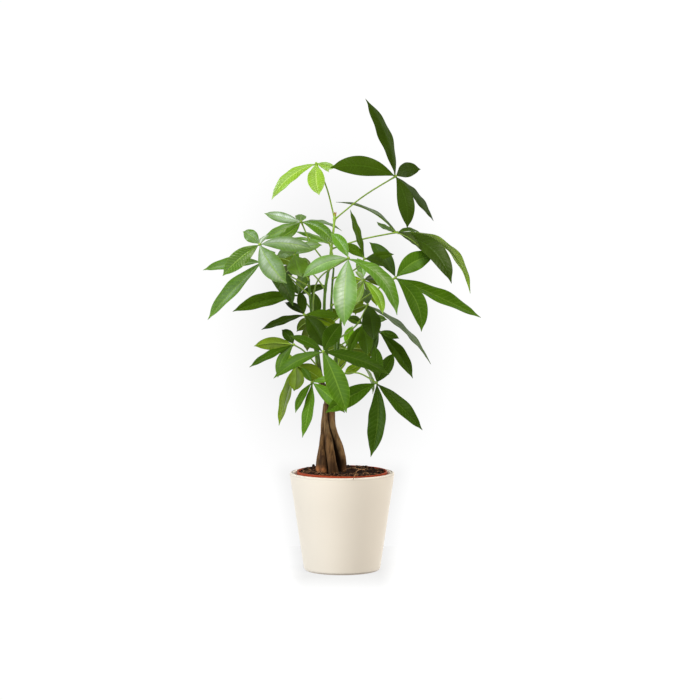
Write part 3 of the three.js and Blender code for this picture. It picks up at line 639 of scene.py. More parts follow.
def smooth_line(points, steps_per_span=12):
    """Points of a centripetal curve through the given ones."""
    ends = [2 * points[0] - points[1], *points, 2 * points[-1] - points[-2]]
    line = []
    for before, start, end, after in zip(ends, ends[1:], ends[2:], ends[3:]):
        first, middle, last = (
            max((b - a).length ** 0.5, 1e-4)
            for a, b in ((before, start), (start, end), (end, after)))
        leaving = ((start - before) / first - (end - before) / (first + middle)
                   + (end - start) / middle) * middle
        arriving = ((end - start) / middle - (after - start) / (middle + last)
                    + (after - end) / last) * middle
        for step in range(steps_per_span):
            t = step / steps_per_span
            line.append(
                start * (2 * t ** 3 - 3 * t ** 2 + 1) + leaving * (t ** 3 - 2 * t ** 2 + t)
                + end * (3 * t ** 2 - 2 * t ** 3) + arriving * (t ** 3 - t ** 2)
            )
    line.append(points[-1].copy())
    return line


def shares_along(line):
    """How far along its length each point of a line lies, from 0 to 1."""
    steps = [(b - a).length for a, b in zip(line, line[1:])]
    run = [0.0]
    for step in steps:
        run.append(run[-1] + step)
    return [value / run[-1] for value in run]


def with_radius(line, radius_at):
    """A line's points, each with the radius for its share of the length."""
    return [(point, radius_at(share)) for point, share in zip(line, shares_along(line))]


def bell(distance, width):
    """A soft bump: 1 where the distance is 0, fading out over the width."""
    return np.exp(-((distance / width) ** 2))


def risen(value, full):
    """From 0 where the value is 0 up to 1 where it is full."""
    return np.clip(value / full, 0, 1)


def tubes(name, lines, sides):
    """Round tubes as one mesh. Each line is a list of (point in millimetres, radius)."""
    curve = bpy.data.curves.new(name, "CURVE")
    curve.dimensions = "3D"
    curve.bevel_depth = MM
    curve.bevel_resolution = max(0, sides // 2 - 2)
    curve.use_fill_caps = True
    for line in lines:
        spline = curve.splines.new("POLY")
        spline.points.add(len(line) - 1)
        for point, (place, radius) in zip(spline.points, line):
            point.co = (*(place * MM), 1)
            point.radius = radius
    piece = bpy.data.objects.new(name, curve)
    bpy.context.scene.collection.objects.link(piece)
    activate(piece)
    bpy.ops.object.convert(target="MESH")
    piece = named(name)
    close_skin(piece, TUBE_GAP, fill=False)
    return piece


def darker(colour, share):
    """A colour times a share."""
    return tuple(part * share for part in colour)


# Materials

# The span that most noise values lie in
NOISE_SPAN = (0.3, 0.7)


class Wiring:
    """Short ways to add and wire the nodes of a material or of the world."""

    def __init__(self, tree):
        self.nodes = tree.nodes
        self.links = tree.links

    def node(self, kind, inputs=(), **settings):
        """A node of this kind, with its settings and its numbered or named inputs."""
        made = self.nodes.new("ShaderNode" + kind)
        for setting, value in settings.items():
            setattr(made, setting, value)
        for socket, value in dict(inputs).items():
            if isinstance(value, bpy.types.NodeSocket):
                self.links.new(value, made.inputs[socket])
            else:
                made.inputs[socket].default_value = value
        return made

    def math(self, operation, first, second=0.0, third=0.0):
        """The result of one sum."""
        made = self.node("Math", {0: first, 1: second, 2: third}, operation=operation)
        return made.outputs[0]

    def product(self, first, *others):
        """Values multiplied, one after the other."""
        for value in others:
            first = self.math("MULTIPLY", first, value)
        return first

    def ramp(self, value, low, high, start=0.0, end=1.0):
        """A smooth step: start where value is under low, end where it is over high."""
        made = self.node(
            "MapRange", {"Value": value, "From Min": low, "From Max": high, "To Min": start,
                         "To Max": end}, interpolation_type="SMOOTHSTEP")
        return made.outputs["Result"]

    def mix(self, share, first, second, blend="MIX"):
        """A mixed colour. Each colour is a socket or three numbers."""
        made = self.node("Mix", data_type="RGBA", blend_type=blend)
        for socket, value in (("Factor_Float", share), ("A_Color", first), ("B_Color", second)):
            target = next(i for i in made.inputs if i.identifier == socket)
            if isinstance(value, bpy.types.NodeSocket):
                self.links.new(value, target)
            elif socket == "Factor_Float":
                target.default_value = value
            else:
                target.default_value = (*value, 1)
        return next(o for o in made.outputs if o.identifier == "Result_Color")

    def dim(self, colour, value):
        """A colour multiplied by a value."""
        grey = self.node("CombineColor", {0: value, 1: value, 2: value}).outputs[0]
        return self.mix(1.0, colour, grey, "MULTIPLY")

    def length(self, vector):
        """The length of a vector."""
        return self.node("VectorMath", {0: vector}, operation="LENGTH").outputs["Value"]

    def split(self, vector):
        """The X, Y and Z of a vector."""
        return self.node("SeparateXYZ", {0: vector}).outputs

    def spot(self):
        """The X, Y and Z of a place on the object."""
        return self.split(self.node("TexCoord").outputs["Object"])

    def mark(self, name):
        """The value that the vertices carry under this name."""
        return self.node("Attribute", attribute_name=name).outputs["Fac"]

    def noise(self, scale, detail, stretch=(1, 1, 1), roughness=0.55):
        """A noise value, from 0 to 1, on places that are stretched."""
        spot = self.node("TexCoord").outputs["Object"]
        places = self.node("Mapping", {"Vector": spot, "Scale": stretch}).outputs["Vector"]
        made = self.node(
            "TexNoise", {"Vector": places, "Scale": scale, "Detail": detail,
                         "Roughness": roughness})
        return made.outputs["Fac"]

    def wander(self, scale, start, end, detail=3):
        """A value that wanders from start to end in soft patches."""
        return self.ramp(self.noise(scale, detail), *NOISE_SPAN, start, end)

    def patches(self, value, low, high, first, second, most=1.0):
        """The first colour, with the second where the value is high, at most to this share."""
        return self.mix(self.ramp(value, low, high, 0, most), first, second)


class Shader(Wiring):
    """A material with a Principled shader."""

    def __init__(self, name, roughness, **sockets):
        self.material = bpy.data.materials.new(name)
        self.material.use_nodes = True
        super().__init__(self.material.node_tree)
        self.surface = self.nodes["Principled BSDF"]
        self.surface.inputs["Roughness"].default_value = roughness
        for socket, value in sockets.items():
            self.surface.inputs[socket.replace("_", " ")].default_value = value

    def paint(self, socket, value):
        """Wires a value to the shader."""
        self.links.new(value, self.surface.inputs[socket])

    def bump(self, height, distance, strength):
        """Relief too fine for the mesh."""
        made = self.node(
            "Bump", {"Height": height, "Strength": strength, "Distance": distance})
        self.paint("Normal", made.outputs["Normal"])


def glaze_material(pot):
    """Cream glaze with faint mottling over clay that shows under the foot, with painted shade on the
    lip and painted light low on its wall.
    """
    look = Shader("cream_glaze", 0.35, Specular_IOR_Level=0.03)
    height = look.spot()["Z"]
    clay_span = (0.5 * MM, 1.1 * MM)
    # Painted light: the glaze is brighter towards the foot, as if lit from the floor.
    foot_span, floor_bounce_gain = (20 * MM, 100 * MM), 1.07
    # Painted shade: the top of the lip is darker.
    lip_shade_span, lip_shade = (pot.height - 4 * MM, pot.height - 1.5 * MM), 0.79
    warm = look.patches(look.noise(22, 3), 0.35, 0.7, pot.glaze, darker(pot.glaze, 0.96), 0.25)
    floor_lit = look.dim(warm, look.ramp(height, *foot_span, floor_bounce_gain, 1))
    lip_shaded = look.dim(floor_lit, look.ramp(height, *lip_shade_span, 1, lip_shade))
    look.paint("Base Color", look.mix(look.ramp(height, *clay_span, 1, 0), lip_shaded, pot.clay))
    look.paint("Roughness", look.wander(60, 0.31, 0.4))
    look.bump(look.noise(30, 2), 0.1 * MM, 0.3)
    return look.material


def mottled(name, roughness, level, colours, patches, relief, most=1.0):
    """A shader of two colours with fine relief. Its patches are given as scale, detail, and the
    noise values where the second colour starts and is full, its relief as scale, stretch along the
    height, depth and strength."""
    look = Shader(name, roughness, Specular_IOR_Level=level)
    scale, detail, low, high = patches
    look.paint("Base Color", look.patches(look.noise(scale, detail), low, high, *colours, most))
    scale, stretch, depth, strength = relief
    look.bump(look.noise(scale, 2, (1, 1, stretch)), depth * MM, strength)
    return look


def terracotta_material(pot):
    """Thin matte plastic in a terracotta colour, a little dusty."""
    colours = (pot.terracotta, darker(pot.terracotta, 0.6))
    look = mottled("terracotta_plastic", 0.5, 0.2, colours, (70, 5, 0.45, 0.75),
                   (700, 1, 0.05, 0.6), 0.35)
    look.paint("Roughness", look.wander(160, 0.42, 0.6))
    return look.material


def soil_material(soil):
    """Dark damp soil, with lighter dry crumbs."""
    look = Shader("potting_soil", 0.92, Specular_IOR_Level=0.25)
    grain = look.noise(420, 6, roughness=0.7)
    patch = look.noise(60, 4)
    base = look.patches(grain, 0.4, 0.68, soil.soil_dark, soil.soil_light)
    damp = look.ramp(patch, 0.35, 0.65, 0.75, 0)
    look.paint("Base Color", look.mix(damp, base, soil.soil_dark))
    look.paint("Roughness", look.ramp(patch, *NOISE_SPAN, 0.8, 0.98))
    look.bump(grain, 0.8 * MM, 0.9)
    return look.material


def fibre_material(soil):
    """Dry tan fibre."""
    colours = (soil.fibre, darker(soil.fibre, 0.35))
    return mottled("dry_fibre", 0.75, 0.3, colours, (240, 3, 0.35, 0.65),
                   (1500, 1, 0.1, 0.6)).material


def bark_material(trunk):
    """Brown bark with fine lengthwise cracks, pale worn ridges and rusty patches near the soil, and
    painted shade in the grooves between the strands.
    """
    look = Shader("trunk_bark", 0.78, Specular_IOR_Level=0.2)
    spot = look.spot()
    height = spot["Z"]
    streak = look.noise(230, 7, (1, 1, 0.16), 0.62)
    blotch = look.noise(55, 4, (1, 1, 0.55))
    brown = look.patches(streak, 0.36, 0.62, trunk.bark_dark, trunk.bark)
    worn = look.patches(blotch, 0.5, 0.72, brown, trunk.bark_light, 0.6)
    # The lower trunk is damp, rusty at its left and darker at its foot.
    damp_span, damp_waver = (150 * MM, 172 * MM), 24 * MM
    rust_span, rust_side = (134 * MM, 144 * MM), (-26 * MM, -18 * MM)
    foot_span = (129 * MM, 135 * MM)
    uneven = look.math("MULTIPLY_ADD", blotch, damp_waver, height)
    damped = look.mix(look.ramp(uneven, *damp_span, 0.8, 0), worn, trunk.bark_dark)
    low = look.ramp(height, *rust_span, 1, 0)
    leftward = look.ramp(spot["X"], *rust_side, 0.9, 0.15)
    spotted = look.ramp(look.noise(90, 4), 0.42, 0.58)
    rusted = look.mix(look.product(low, spotted, leftward), damped, trunk.rust)
    darker_foot = look.dim(rusted, look.ramp(height, *foot_span, 0.5, 1))
    # Painted shade: the bark goes dark in the grooves between the strands.
    groove_shade = look.ramp(look.mark("ridge"), 0.1, 0.75, 0.92, 0)
    look.paint("Base Color", look.mix(groove_shade, darker_foot, darker(trunk.bark_dark, 0.3)))
    look.paint("Roughness", look.ramp(streak, *NOISE_SPAN, 0.85, 0.66))
    look.bump(streak, 0.9 * MM, 0.8)
    return look.material


def stem_material(leaf):
    """Green stem, woody and brown at its foot, with fine pale lenticels."""
    look = Shader("green_stem", 0.45, Specular_IOR_Level=0.4)
    height = look.spot()["Z"]
    wood_span, wood_waver = (262 * MM, 322 * MM), 60 * MM
    shoot_span = (408 * MM, 436 * MM)
    level = look.math("ADD", height, look.product(look.noise(40, 3), wood_waver))
    green = look.patches(look.noise(120, 3), 0.35, 0.65, leaf.stem, darker(leaf.stem, 0.6))
    woody = look.patches(look.noise(260, 5, (1, 1, 0.2)), 0.4, 0.6, leaf.wood,
                         darker(leaf.wood, 0.45))
    grown = look.patches(level, *wood_span, woody, green)
    look.paint("Base Color", look.patches(height, *shoot_span, grown, leaf.shoot))
    look.paint("Roughness", look.ramp(level, *wood_span, 0.75, 0.42))
    look.bump(look.noise(500, 4, (1, 1, 0.25)), 0.25 * MM, 0.6)
    return look.material


def stalk_material(leaf):
    """Smooth light green leaf stalk."""
    colours = (leaf.stalk, darker(leaf.stalk, 0.6))
    return mottled("leaf_stalk", 0.4, 0.45, colours, (35, 3, *NOISE_SPAN),
                   (600, 0.3, 0.1, 0.4)).material


def bud_material(leaf):
    """Reddish-brown bud scales, green in places."""
    return mottled("bud_scale", 0.55, 0.3, (leaf.bud, leaf.shoot), (260, 3, 0.45, 0.7),
                   (900, 0.3, 0.1, 0.5)).material


# How far the side veins lean back from the tip, how far they show beside the midrib, and how much
# one whole step of shade brightens. A leaflet's shade is painted light and shade with its own tone.
VEIN_SLANT = 0.1
SIDE_VEINS = 0.42
SHADE_STEP = 2.5

# How a blade shines: roughness, specular level, the tint of the shine and how far its veins show
FINISHES = {
    "waxy": (0.36, 0.7, (0.95, 1.0, 0.9), 0.85),
    "satin": (0.4, 0.25, (0.9, 1.0, 0.8), 0.65),
    "dull": (0.44, 0.13, (0.8, 0.95, 0.6), 0.5),
}
UNDERSIDE_TINT = (0.5, 0.8, 0.2)

# The material slot for each tone
SLOTS = {"young": "young_leaf", "fresh": "young_leaf", "mature": "mature_leaf", "old": "old_leaf"}


def vein_masks(look, leaf):
    """Masks of the midrib and the side veins, from the leaflet's own UV map, with how far out
    across and along the leaflet a place lies."""
    uv = look.split(look.node("UVMap").outputs["UV"])
    across = look.math("ABSOLUTE", look.math("MULTIPLY_ADD", uv["X"], 2.0, -1.0))
    along = uv["Y"]
    midrib = look.ramp(across, 0.02, 0.09, 1, 0)
    slanted = look.math("SUBTRACT", along, look.product(across, VEIN_SLANT))
    turns = look.math("FRACT", look.product(slanted, float(leaf.vein_pairs)))
    off_vein = look.math("ABSOLUTE", look.math("SUBTRACT", turns, 0.5))
    side = look.ramp(off_vein, 0.36, 0.49)
    return midrib, side, across, along


def leaf_tone(look, tone):
    """The tone of a leaf, darker or lighter by each leaflet's shade: painted light and shade with its own
    tone.
    """
    return look.dim(tone, look.math("POWER", SHADE_STEP, look.mark("shade")))


def under_wax_and_sheen(look, leaf, colour, side, across, along):
    """A colour under each leaflet's painted sheen and pale wax, thin on the veins, the edge and the tip."""
    patchy = look.wander(55, 0.6, 1.4)
    inner = look.ramp(across, 0.3, 0.95, 1.45, 0.25)
    lower = look.ramp(along, 0.6, 0.97, 1.1, 0.2)
    between = look.ramp(side, 0, 1, 1.15, 0.6)
    bloom = look.product(look.mark("bloom"), patchy, inner, lower, between)
    return look.mix(bloom, colour, leaf.wax_and_sheen_colour)


def blade_material(name, leaf, tone, vein, finish):
    """Upper side of a leaflet: pale midrib, fine side veins, a soft waxy shine and painted sheen."""
    roughness, level, tint, veins = FINISHES[finish]
    look = Shader(name, roughness, Specular_IOR_Level=level, Specular_Tint=(*tint, 1))
    midrib, side, across, along = vein_masks(look, leaf)
    vein = leaf_tone(look, vein)
    shaded = look.dim(leaf_tone(look, tone), look.wander(38, 0.85, 1.05))
    edged = look.patches(across, 0.9, 1.0, shaded, vein, 0.25)
    tipped = look.patches(along, 0.86, 1.0, edged, vein, 0.3)
    veined = look.mix(look.product(side, SIDE_VEINS * veins), tipped, vein)
    with_wax_and_sheen = under_wax_and_sheen(look, leaf, veined, side, across, along)
    look.paint("Base Color", look.mix(look.product(midrib, veins), with_wax_and_sheen, vein))
    look.paint("Roughness", look.wander(90, roughness - 0.04, roughness + 0.04))
    relief = look.math("MULTIPLY_ADD", side, -0.5, look.product(look.noise(250, 2), 0.2))
    look.bump(relief, 0.25 * MM, 0.5)
    return look.material


def underside_material(name, leaf, tone, vein):
    """Underside of a leaflet: paler and duller, with raised veins and painted sheen."""
    look = Shader(name, 0.6, Specular_IOR_Level=0.35, Specular_Tint=(*UNDERSIDE_TINT, 1))
    midrib, side, across, along = vein_masks(look, leaf)
    vein = leaf_tone(look, vein)
    blade = look.dim(leaf_tone(look, tone), look.wander(45, 0.75, 1.1, 4))
    veined = look.mix(look.product(side, 0.3), blade, vein)
    with_wax_and_sheen = under_wax_and_sheen(look, leaf, veined, side, across, along)
    look.paint("Base Color", look.mix(look.product(midrib, 0.7), with_wax_and_sheen, vein))
    look.bump(side, 0.2 * MM, 0.4)
    return look.material


# Pieces

# A face counts as facing up when its normal's Z is over this, and heights this near are the same.
FACING_UP = 0.9
SAME_HEIGHT = 0.05 * MM


def draw_out(rise, share, height):
    """Extrudes the selection upwards and widens it by the share, at the height given."""
    bpy.ops.mesh.extrude_region_move(TRANSFORM_OT_translate={"value": (0, 0, rise)})
    bpy.ops.transform.resize(value=(share, share, 1), center_override=(0, 0, height))


def tapered_cup(name, foot, rim, base, top, wall, floor, inner_foot):
    """A cup from a cone: its top is inset by the wall and sunk to the floor."""
    deselect()
    bpy.ops.mesh.primitive_cone_add(
        vertices=144, radius1=foot, radius2=rim, depth=top - base,
        location=(0, 0, (top + base) / 2),
    )
    cup = named(name)
    settle(cup)
    select_where(cup, "FACE", lambda face: face.normal.z > FACING_UP)
    bpy.ops.mesh.inset(thickness=wall)
    draw_out(base + floor - top, inner_foot / (rim - wall), base + floor)
    bpy.ops.object.mode_set(mode="OBJECT")
    return cup


def round_ring(cup, height, amount, steps, reach=0.0):
    """Rounds the edges that run round the cup at a height, outside the given radius."""
    def on_ring(edge):
        start, end = [cup.data.vertices[i].co for i in edge.vertices]
        level = all(abs(corner.z - height) < SAME_HEIGHT for corner in (start, end))
        return level and ((start + end) / 2).to_2d().length > reach
    select_where(cup, "EDGE", on_ring)
    bpy.ops.mesh.bevel(offset=amount, segments=steps, affect="EDGES")
    bpy.ops.object.mode_set(mode="OBJECT")


class MONEYTREE_OT_outer_pot(Operator):
    """Glazed pot: a tapered cup with a rounded lip and foot"""

    bl_idname = "moneytree.outer_pot"
    bl_label = "Glazed pot"

    def execute(self, context):
        pot = context.scene.money_tree_pot
        inner_foot = pot.foot_radius - pot.wall + 1 * MM
        cup = tapered_cup(
            "glazed_pot", pot.foot_radius, pot.rim_radius, 0, pot.height, pot.wall, pot.floor,
            inner_foot)
        round_ring(cup, pot.height, pot.lip_round, 8)
        round_ring(cup, 0, pot.foot_round, 6)
        round_ring(cup, pot.floor, pot.foot_round, 5, inner_foot / 2)
        cover(cup, glaze_material(pot))
        smooth(cup)
        finish_piece(cup, "glazed_pot", "outer_pot")
        return {"FINISHED"}


class MONEYTREE_OT_nursery_pot(Operator):
    """Nursery pot: a thin plastic cup with a stepped rim band and drain holes"""

    bl_idname = "moneytree.nursery_pot"
    bl_label = "Nursery pot"

    def execute(self, context):
        pot = context.scene.money_tree_pot
        low, high = NURSERY_LOW.z, NURSERY_HIGH.z
        band = high - pot.nursery_band
        shoulder = pot.nursery_shoulder
        stepped = shoulder + pot.nursery_step
        step_rise, clearance, lip_round = 1 * MM, 0.15 * MM, 0.5 * MM
        cup = tapered_cup(
            "nursery_shell", pot.nursery_base, shoulder, low, band, pot.nursery_wall,
            pot.nursery_wall, pot.nursery_base - pot.nursery_wall)
        # The rim of the cup is drawn out to a step, then up to the rim band.
        select_where(cup, "FACE", lambda face: face.normal.z > FACING_UP
                     and face.center.z > band - 2 * SAME_HEIGHT)
        draw_out(step_rise, stepped / shoulder, band)
        draw_out(high - band - step_rise, (NURSERY_HIGH.x - clearance) / stepped, high)
        bpy.ops.object.mode_set(mode="OBJECT")
        round_ring(cup, high, lip_round, 3)
        for hole in range(pot.drain_holes):
            angle = hole * math.tau / pot.drain_holes
            deselect()
            bpy.ops.mesh.primitive_cylinder_add(
                vertices=32, radius=pot.drain_radius, depth=6 * pot.nursery_wall,
                location=(pot.drain_ring * math.cos(angle), pot.drain_ring * math.sin(angle), low))
            drill = named("drill")
            cut = cup.modifiers.new("drain", "BOOLEAN")
            cut.object = drill
            cut.operation = "DIFFERENCE"
            cut.solver = "EXACT"
            apply_modifiers(cup)
            bpy.data.objects.remove(drill)
        self.sink_rim(cup, pot)
        cover(cup, terracotta_material(pot))
        smooth(cup, 30)
        finish_piece(cup, "nursery_plastic", "nursery_pot")
        return {"FINISHED"}

    def sink_rim(self, cup, pot):
        """The thin rim is pressed down a little at the front right."""
        band_span = (NURSERY_HIGH.z - pot.nursery_band, NURSERY_HIGH.z)
        x_span, y_span = (-30 * MM, 30 * MM), (-40 * MM, 20 * MM)
        for vertex in cup.data.vertices:
            place = vertex.co
            rightward = np.interp(place.x, x_span, (0, 1))
            forward = np.interp(place.y, y_span, (1, 0))
            upward = np.interp(place.z, band_span, (0, 1))
            place.z -= pot.rim_drop * rightward * forward * upward
        cup.data.update()


# The clods of the soil, from large to small: height, fineness, and a shift of their pattern
CLODS = [(1.7, 0.09, (0, 0, 0)), (1.7, 0.22, (9, 4, 0)), (0.9, 0.55, (0, 0, 0))]

# How steeply the mound and the clods rise from the pot's wall inwards
MOUND_RISE = 2.6
CLOD_RISE = 8

# The soil rises towards the back over this span of y, and goes from its back left to its back right
# over this span of x.
BACK_SPAN = (-20 * MM, 40 * MM)
SIDE_SPAN = (-30 * MM, 20 * MM)

# Crumbs: the ring that they lie in, in shares of the soil's area, their radii in millimetres, how
# much they are stretched, and how far they stand out of the soil
CRUMB_RING = (0.12, 0.96)
CRUMB_SIZES = (0.5, 0.7, 0.9, 1.2, 1.7, 2.3)
CRUMB_STRETCH = (0.55, 1.25)
CRUMB_RISE = 0.25

# Fibres: their ring, the share of the soil's radius where they stop, their steps, their length,
# radius and height over the soil in millimetres, how much of their radius they lose, and how far
# they curl, in radians
FIBRE_RING = (0.2, 0.9)
FIBRE_LIMIT = 0.97
FIBRE_STEPS = 6
FIBRE_LENGTH = (6, 17)
FIBRE_RADIUS = (0.16, 0.4)
FIBRE_RISE = 0.6
FIBRE_TAPER = 0.6
MOST_CURL = 2.2


def soil_height(x, y, radius, soil):
    """Height of the soil's surface, in metres: higher at the back, most at the left, with clods."""
    inward = max(0.0, 1 - math.hypot(x, y) / radius)
    backward = np.interp(y, BACK_SPAN, (0, 1))
    mound = soil.mound * min(1, inward * MOUND_RISE)
    mound += backward * np.interp(x, SIDE_SPAN, (soil.back_left, soil.back_right))
    spot = Vector((x, y, 0)) / MM
    clods = sum(rise * noise.noise(spot * fine + Vector(shift)) for rise, fine, shift in CLODS)
    return soil.edge_height + mound + clods * MM * min(1, inward * CLOD_RISE)


class MONEYTREE_OT_soil(Operator):
    """Soil: a mound that fills the nursery pot, with crumbs and plant fibres on it"""

    bl_idname = "moneytree.soil"
    bl_label = "Soil"

    def execute(self, context):
        soil = context.scene.money_tree_soil
        draw = random.Random(soil.seed)
        piece = join("potting_soil", [self.ground(soil), self.crumbs(soil, draw)])
        cover(piece, soil_material(soil))
        smooth(piece, 70)
        finish_piece(piece, "soil", "soil")
        self.fibres(soil, draw)
        return {"FINISHED"}

    def ground(self, soil):
        """The body of the soil, wrapped from a grid: floor, wall, then the cloddy top."""
        clearance, taper = 0.2 * MM, 17 * MM
        radius = SOIL_HIGH.x - clearance
        base_radius = radius - taper
        ground, across, along = grid("soil_ground", 180, 90)
        floor_end, wall_end = 0.08, 0.2
        places = []
        for turn, share in zip(across * math.pi, along):
            if share < floor_end:
                reach, height = base_radius * share / floor_end, SOIL_LOW.z
            elif share < wall_end:
                rise = (share - floor_end) / (wall_end - floor_end)
                reach = base_radius + (radius - base_radius) * rise
                height = SOIL_LOW.z + (soil.edge_height - SOIL_LOW.z) * rise
            else:
                reach = radius * (1 - (share - wall_end) / (1 - wall_end))
                height = soil_height(reach * math.sin(turn), -reach * math.cos(turn), radius, soil)
            places.append(round_about(reach, turn, height))
        move_vertices(ground, places)
        close_skin(ground, SEAM_GAP)
        return ground

    def crumbs(self, soil, draw):
        """Loose crumbs, copied from one small lump."""
        radius = SOIL_HIGH.x
        deselect()
        bpy.ops.mesh.primitive_ico_sphere_add(subdivisions=1, radius=1 * MM)
        lump = named("crumb")
        crumbs = []
        for _ in range(soil.crumbs):
            reach = radius * math.sqrt(draw.uniform(*CRUMB_RING))
            turn = draw.uniform(0, math.tau)
            x, y = reach * math.sin(turn), -reach * math.cos(turn)
            size = draw.choice(CRUMB_SIZES)
            crumb = own_copy(lump)
            crumb.location = (x, y, soil_height(x, y, radius, soil) + CRUMB_RISE * size * MM)
            crumb.rotation_euler = [draw.uniform(0, math.pi) for _ in range(3)]
            crumb.scale = [size * draw.uniform(*CRUMB_STRETCH) for _ in range(3)]
            crumbs.append(crumb)
        bpy.data.objects.remove(lump)
        settle(*crumbs)
        return join("crumbs", crumbs)

    def fibres(self, soil, draw):
        """Thin dry fibres on the soil, and the loose root that hangs over the rim at the front."""
        radius = SOIL_HIGH.x
        lines = []
        for _ in range(soil.fibres):
            reach = radius * math.sqrt(draw.uniform(*FIBRE_RING))
            turn = draw.uniform(0, math.tau)
            heading = draw.uniform(0, math.tau)
            start = round_about(reach, turn) / MM
            run = draw.uniform(*FIBRE_LENGTH)
            curl = draw.uniform(-MOST_CURL, MOST_CURL)
            thick = draw.uniform(*FIBRE_RADIUS)
            line = []
            for share in (step / FIBRE_STEPS for step in range(FIBRE_STEPS + 1)):
                way = heading + curl * share
                spot = start + run * share * Vector((math.cos(way), math.sin(way), 0))
                if spot.length * MM > radius * FIBRE_LIMIT:
                    break
                spot.z = soil_height(spot.x * MM, spot.y * MM, radius, soil) / MM
                spot.z += FIBRE_RISE + math.sin(math.pi * share) * abs(curl)
                line.append((spot, thick * (1 - FIBRE_TAPER * share)))
            if len(line) > FIBRE_STEPS / 2:
                lines.append(line)
        loose = tubes("fibres", lines, 6)
        hanging = []
        for points, thick, thinning in ((ROOT_FIBRE, 0.62, 0.3), (ROOT_BRANCH, 0.4, 0.2)):
            line = smooth_line([seen(*point) for point in points], 8)
            hanging.append(with_radius(line, lambda share: thick - thinning * share))
        piece = join("soil_fibres", [loose, tubes("roots", hanging, 8)])
        cover(piece, fibre_material(soil))
        smooth(piece)
        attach(piece, "root")


def trunk_at(height):
    """The trunk's axis x and radius at a height, in millimetres."""
    for low, high in zip(TRUNK_SECTIONS, TRUNK_SECTIONS[1:]):
        if height <= high[0]:
            break
    share = (height - low[0]) / (high[0] - low[0])
    return low[1] + (high[1] - low[1]) * share, low[2] + (high[2] - low[2]) * share


def groove_angle(strand, height):
    """Angle of the groove before a strand at a height, in radians from the front."""
    turns, index = divmod(strand, len(GROOVE_ANGLES))
    low, high = GROOVE_ANGLES[index]
    rise = max(0, (height - TWIST_START) / (TWIST_END - TWIST_START))
    return math.radians(low + (high - low) * rise ** TWIST_EASE + 360 * turns)


# The bark's long cracks and its lumps: fineness across and along the trunk and of both, and height
BARK_GRAIN = [(0.34, 0.045, 1.6, 0.6), (0.11, 0.07, 1, 0.8)]


def bark_relief(spot):
    """Height of the bark at a place, from -1 to 1: long cracks along the trunk, and lumps."""
    return sum(
        rise * noise.noise(Vector((spot.x * across, spot.y * across, spot.z * along)) * fine)
        for across, along, fine, rise in BARK_GRAIN)


class MONEYTREE_OT_trunk(Operator):
    """Trunk: five strands twisted together, each with a rounded back, bark and a cut top"""

    bl_idname = "moneytree.trunk"
    bl_label = "Twisted trunk"

    def execute(self, context):
        trunk = context.scene.money_tree_trunk
        bark = bark_material(trunk)
        for index in range(len(GROOVE_ANGLES)):
            strand = self.strand(index, trunk)
            cover(strand, bark)
            smooth(strand, 60)
            finish_piece(strand, "bark", f"trunk_strand_{index + 1}")
        return {"FINISHED"}

    def strand(self, index, trunk):
        """One strand, wrapped from a grid round its own section."""
        strand, across, along = grid(f"bark_strand_{index + 1}", 44, 170)
        heights = STRAND_FOOT + (STRAND_TOP - STRAND_FOOT) * along
        skin = [self.skin(index, turn, height, trunk) for turn, height in zip(across, heights)]
        move_vertices(strand, [place * MM for place, ridge in skin])
        mark_vertices(strand, "ridge", [ridge for place, ridge in skin])
        close_skin(strand, SEAM_GAP)
        return strand

    def skin(self, index, turn, height, trunk):
        """A place on a strand's skin and how far out of the groove it stands, from 0 to 1."""
        centre_x, radius = trunk_at(height)
        start, end = groove_angle(index, height), groove_angle(index + 1, height)
        if index == GAP_STRAND - 1:
            end -= math.radians(np.interp(height, GAP_HEIGHTS, GAP_BEFORE))
        elif index == GAP_STRAND:
            start += math.radians(np.interp(height, GAP_HEIGHTS, GAP_AFTER))
        # The outer part of the turn is the strand's back; the rest runs in along its two sides.
        outer, core = 0.8, 0.4
        margin, span = 0.02, 0.96
        if abs(turn) <= outer:
            share = (turn / outer + 1) / 2
            arch = math.sin(math.pi * share) ** 0.5
            reach = radius * (1 - trunk.groove * (1 - arch))
            angle = start + (end - start) * (margin + span * share)
        else:
            inward = (abs(turn) - outer) / (1 - outer)
            arch = 0
            reach = radius * (1 - trunk.groove) * (1 - inward) + core * inward
            side = start + (end - start) * (margin + span if turn > 0 else margin)
            angle = side + ((start + end) / 2 - side) * inward
        spot = round_about(reach, angle, height, centre_x)
        relief = bark_relief(spot + Vector((index * 50, 0, 0))) * trunk.relief / MM
        return spot + round_about(1, angle) * relief * arch, arch


def stem_line(name):
    """Points of a stem from its strand's cut top to its tip, in millimetres."""
    stem = STEMS[name]
    centre_x, radius = trunk_at(STRAND_TOP)
    angle = (groove_angle(stem.strand - 1, STRAND_TOP) + groove_angle(stem.strand, STRAND_TOP)) / 2
    gap, straight, reach = 0.3, 6, 0.64
    foot = round_about(radius * reach, angle, STRAND_TOP + gap, centre_x)
    above = foot + Vector((0, 0, straight - gap))
    return smooth_line([foot, above, *[seen(*point) for point in stem.route]])


def point_at_height(line, height):
    """The first point of a rising line at the given height."""
    for low, high in zip(line, line[1:]):
        if high.z >= height:
            return low.lerp(high, (height - low.z) / (high.z - low.z))
    return line[-1]


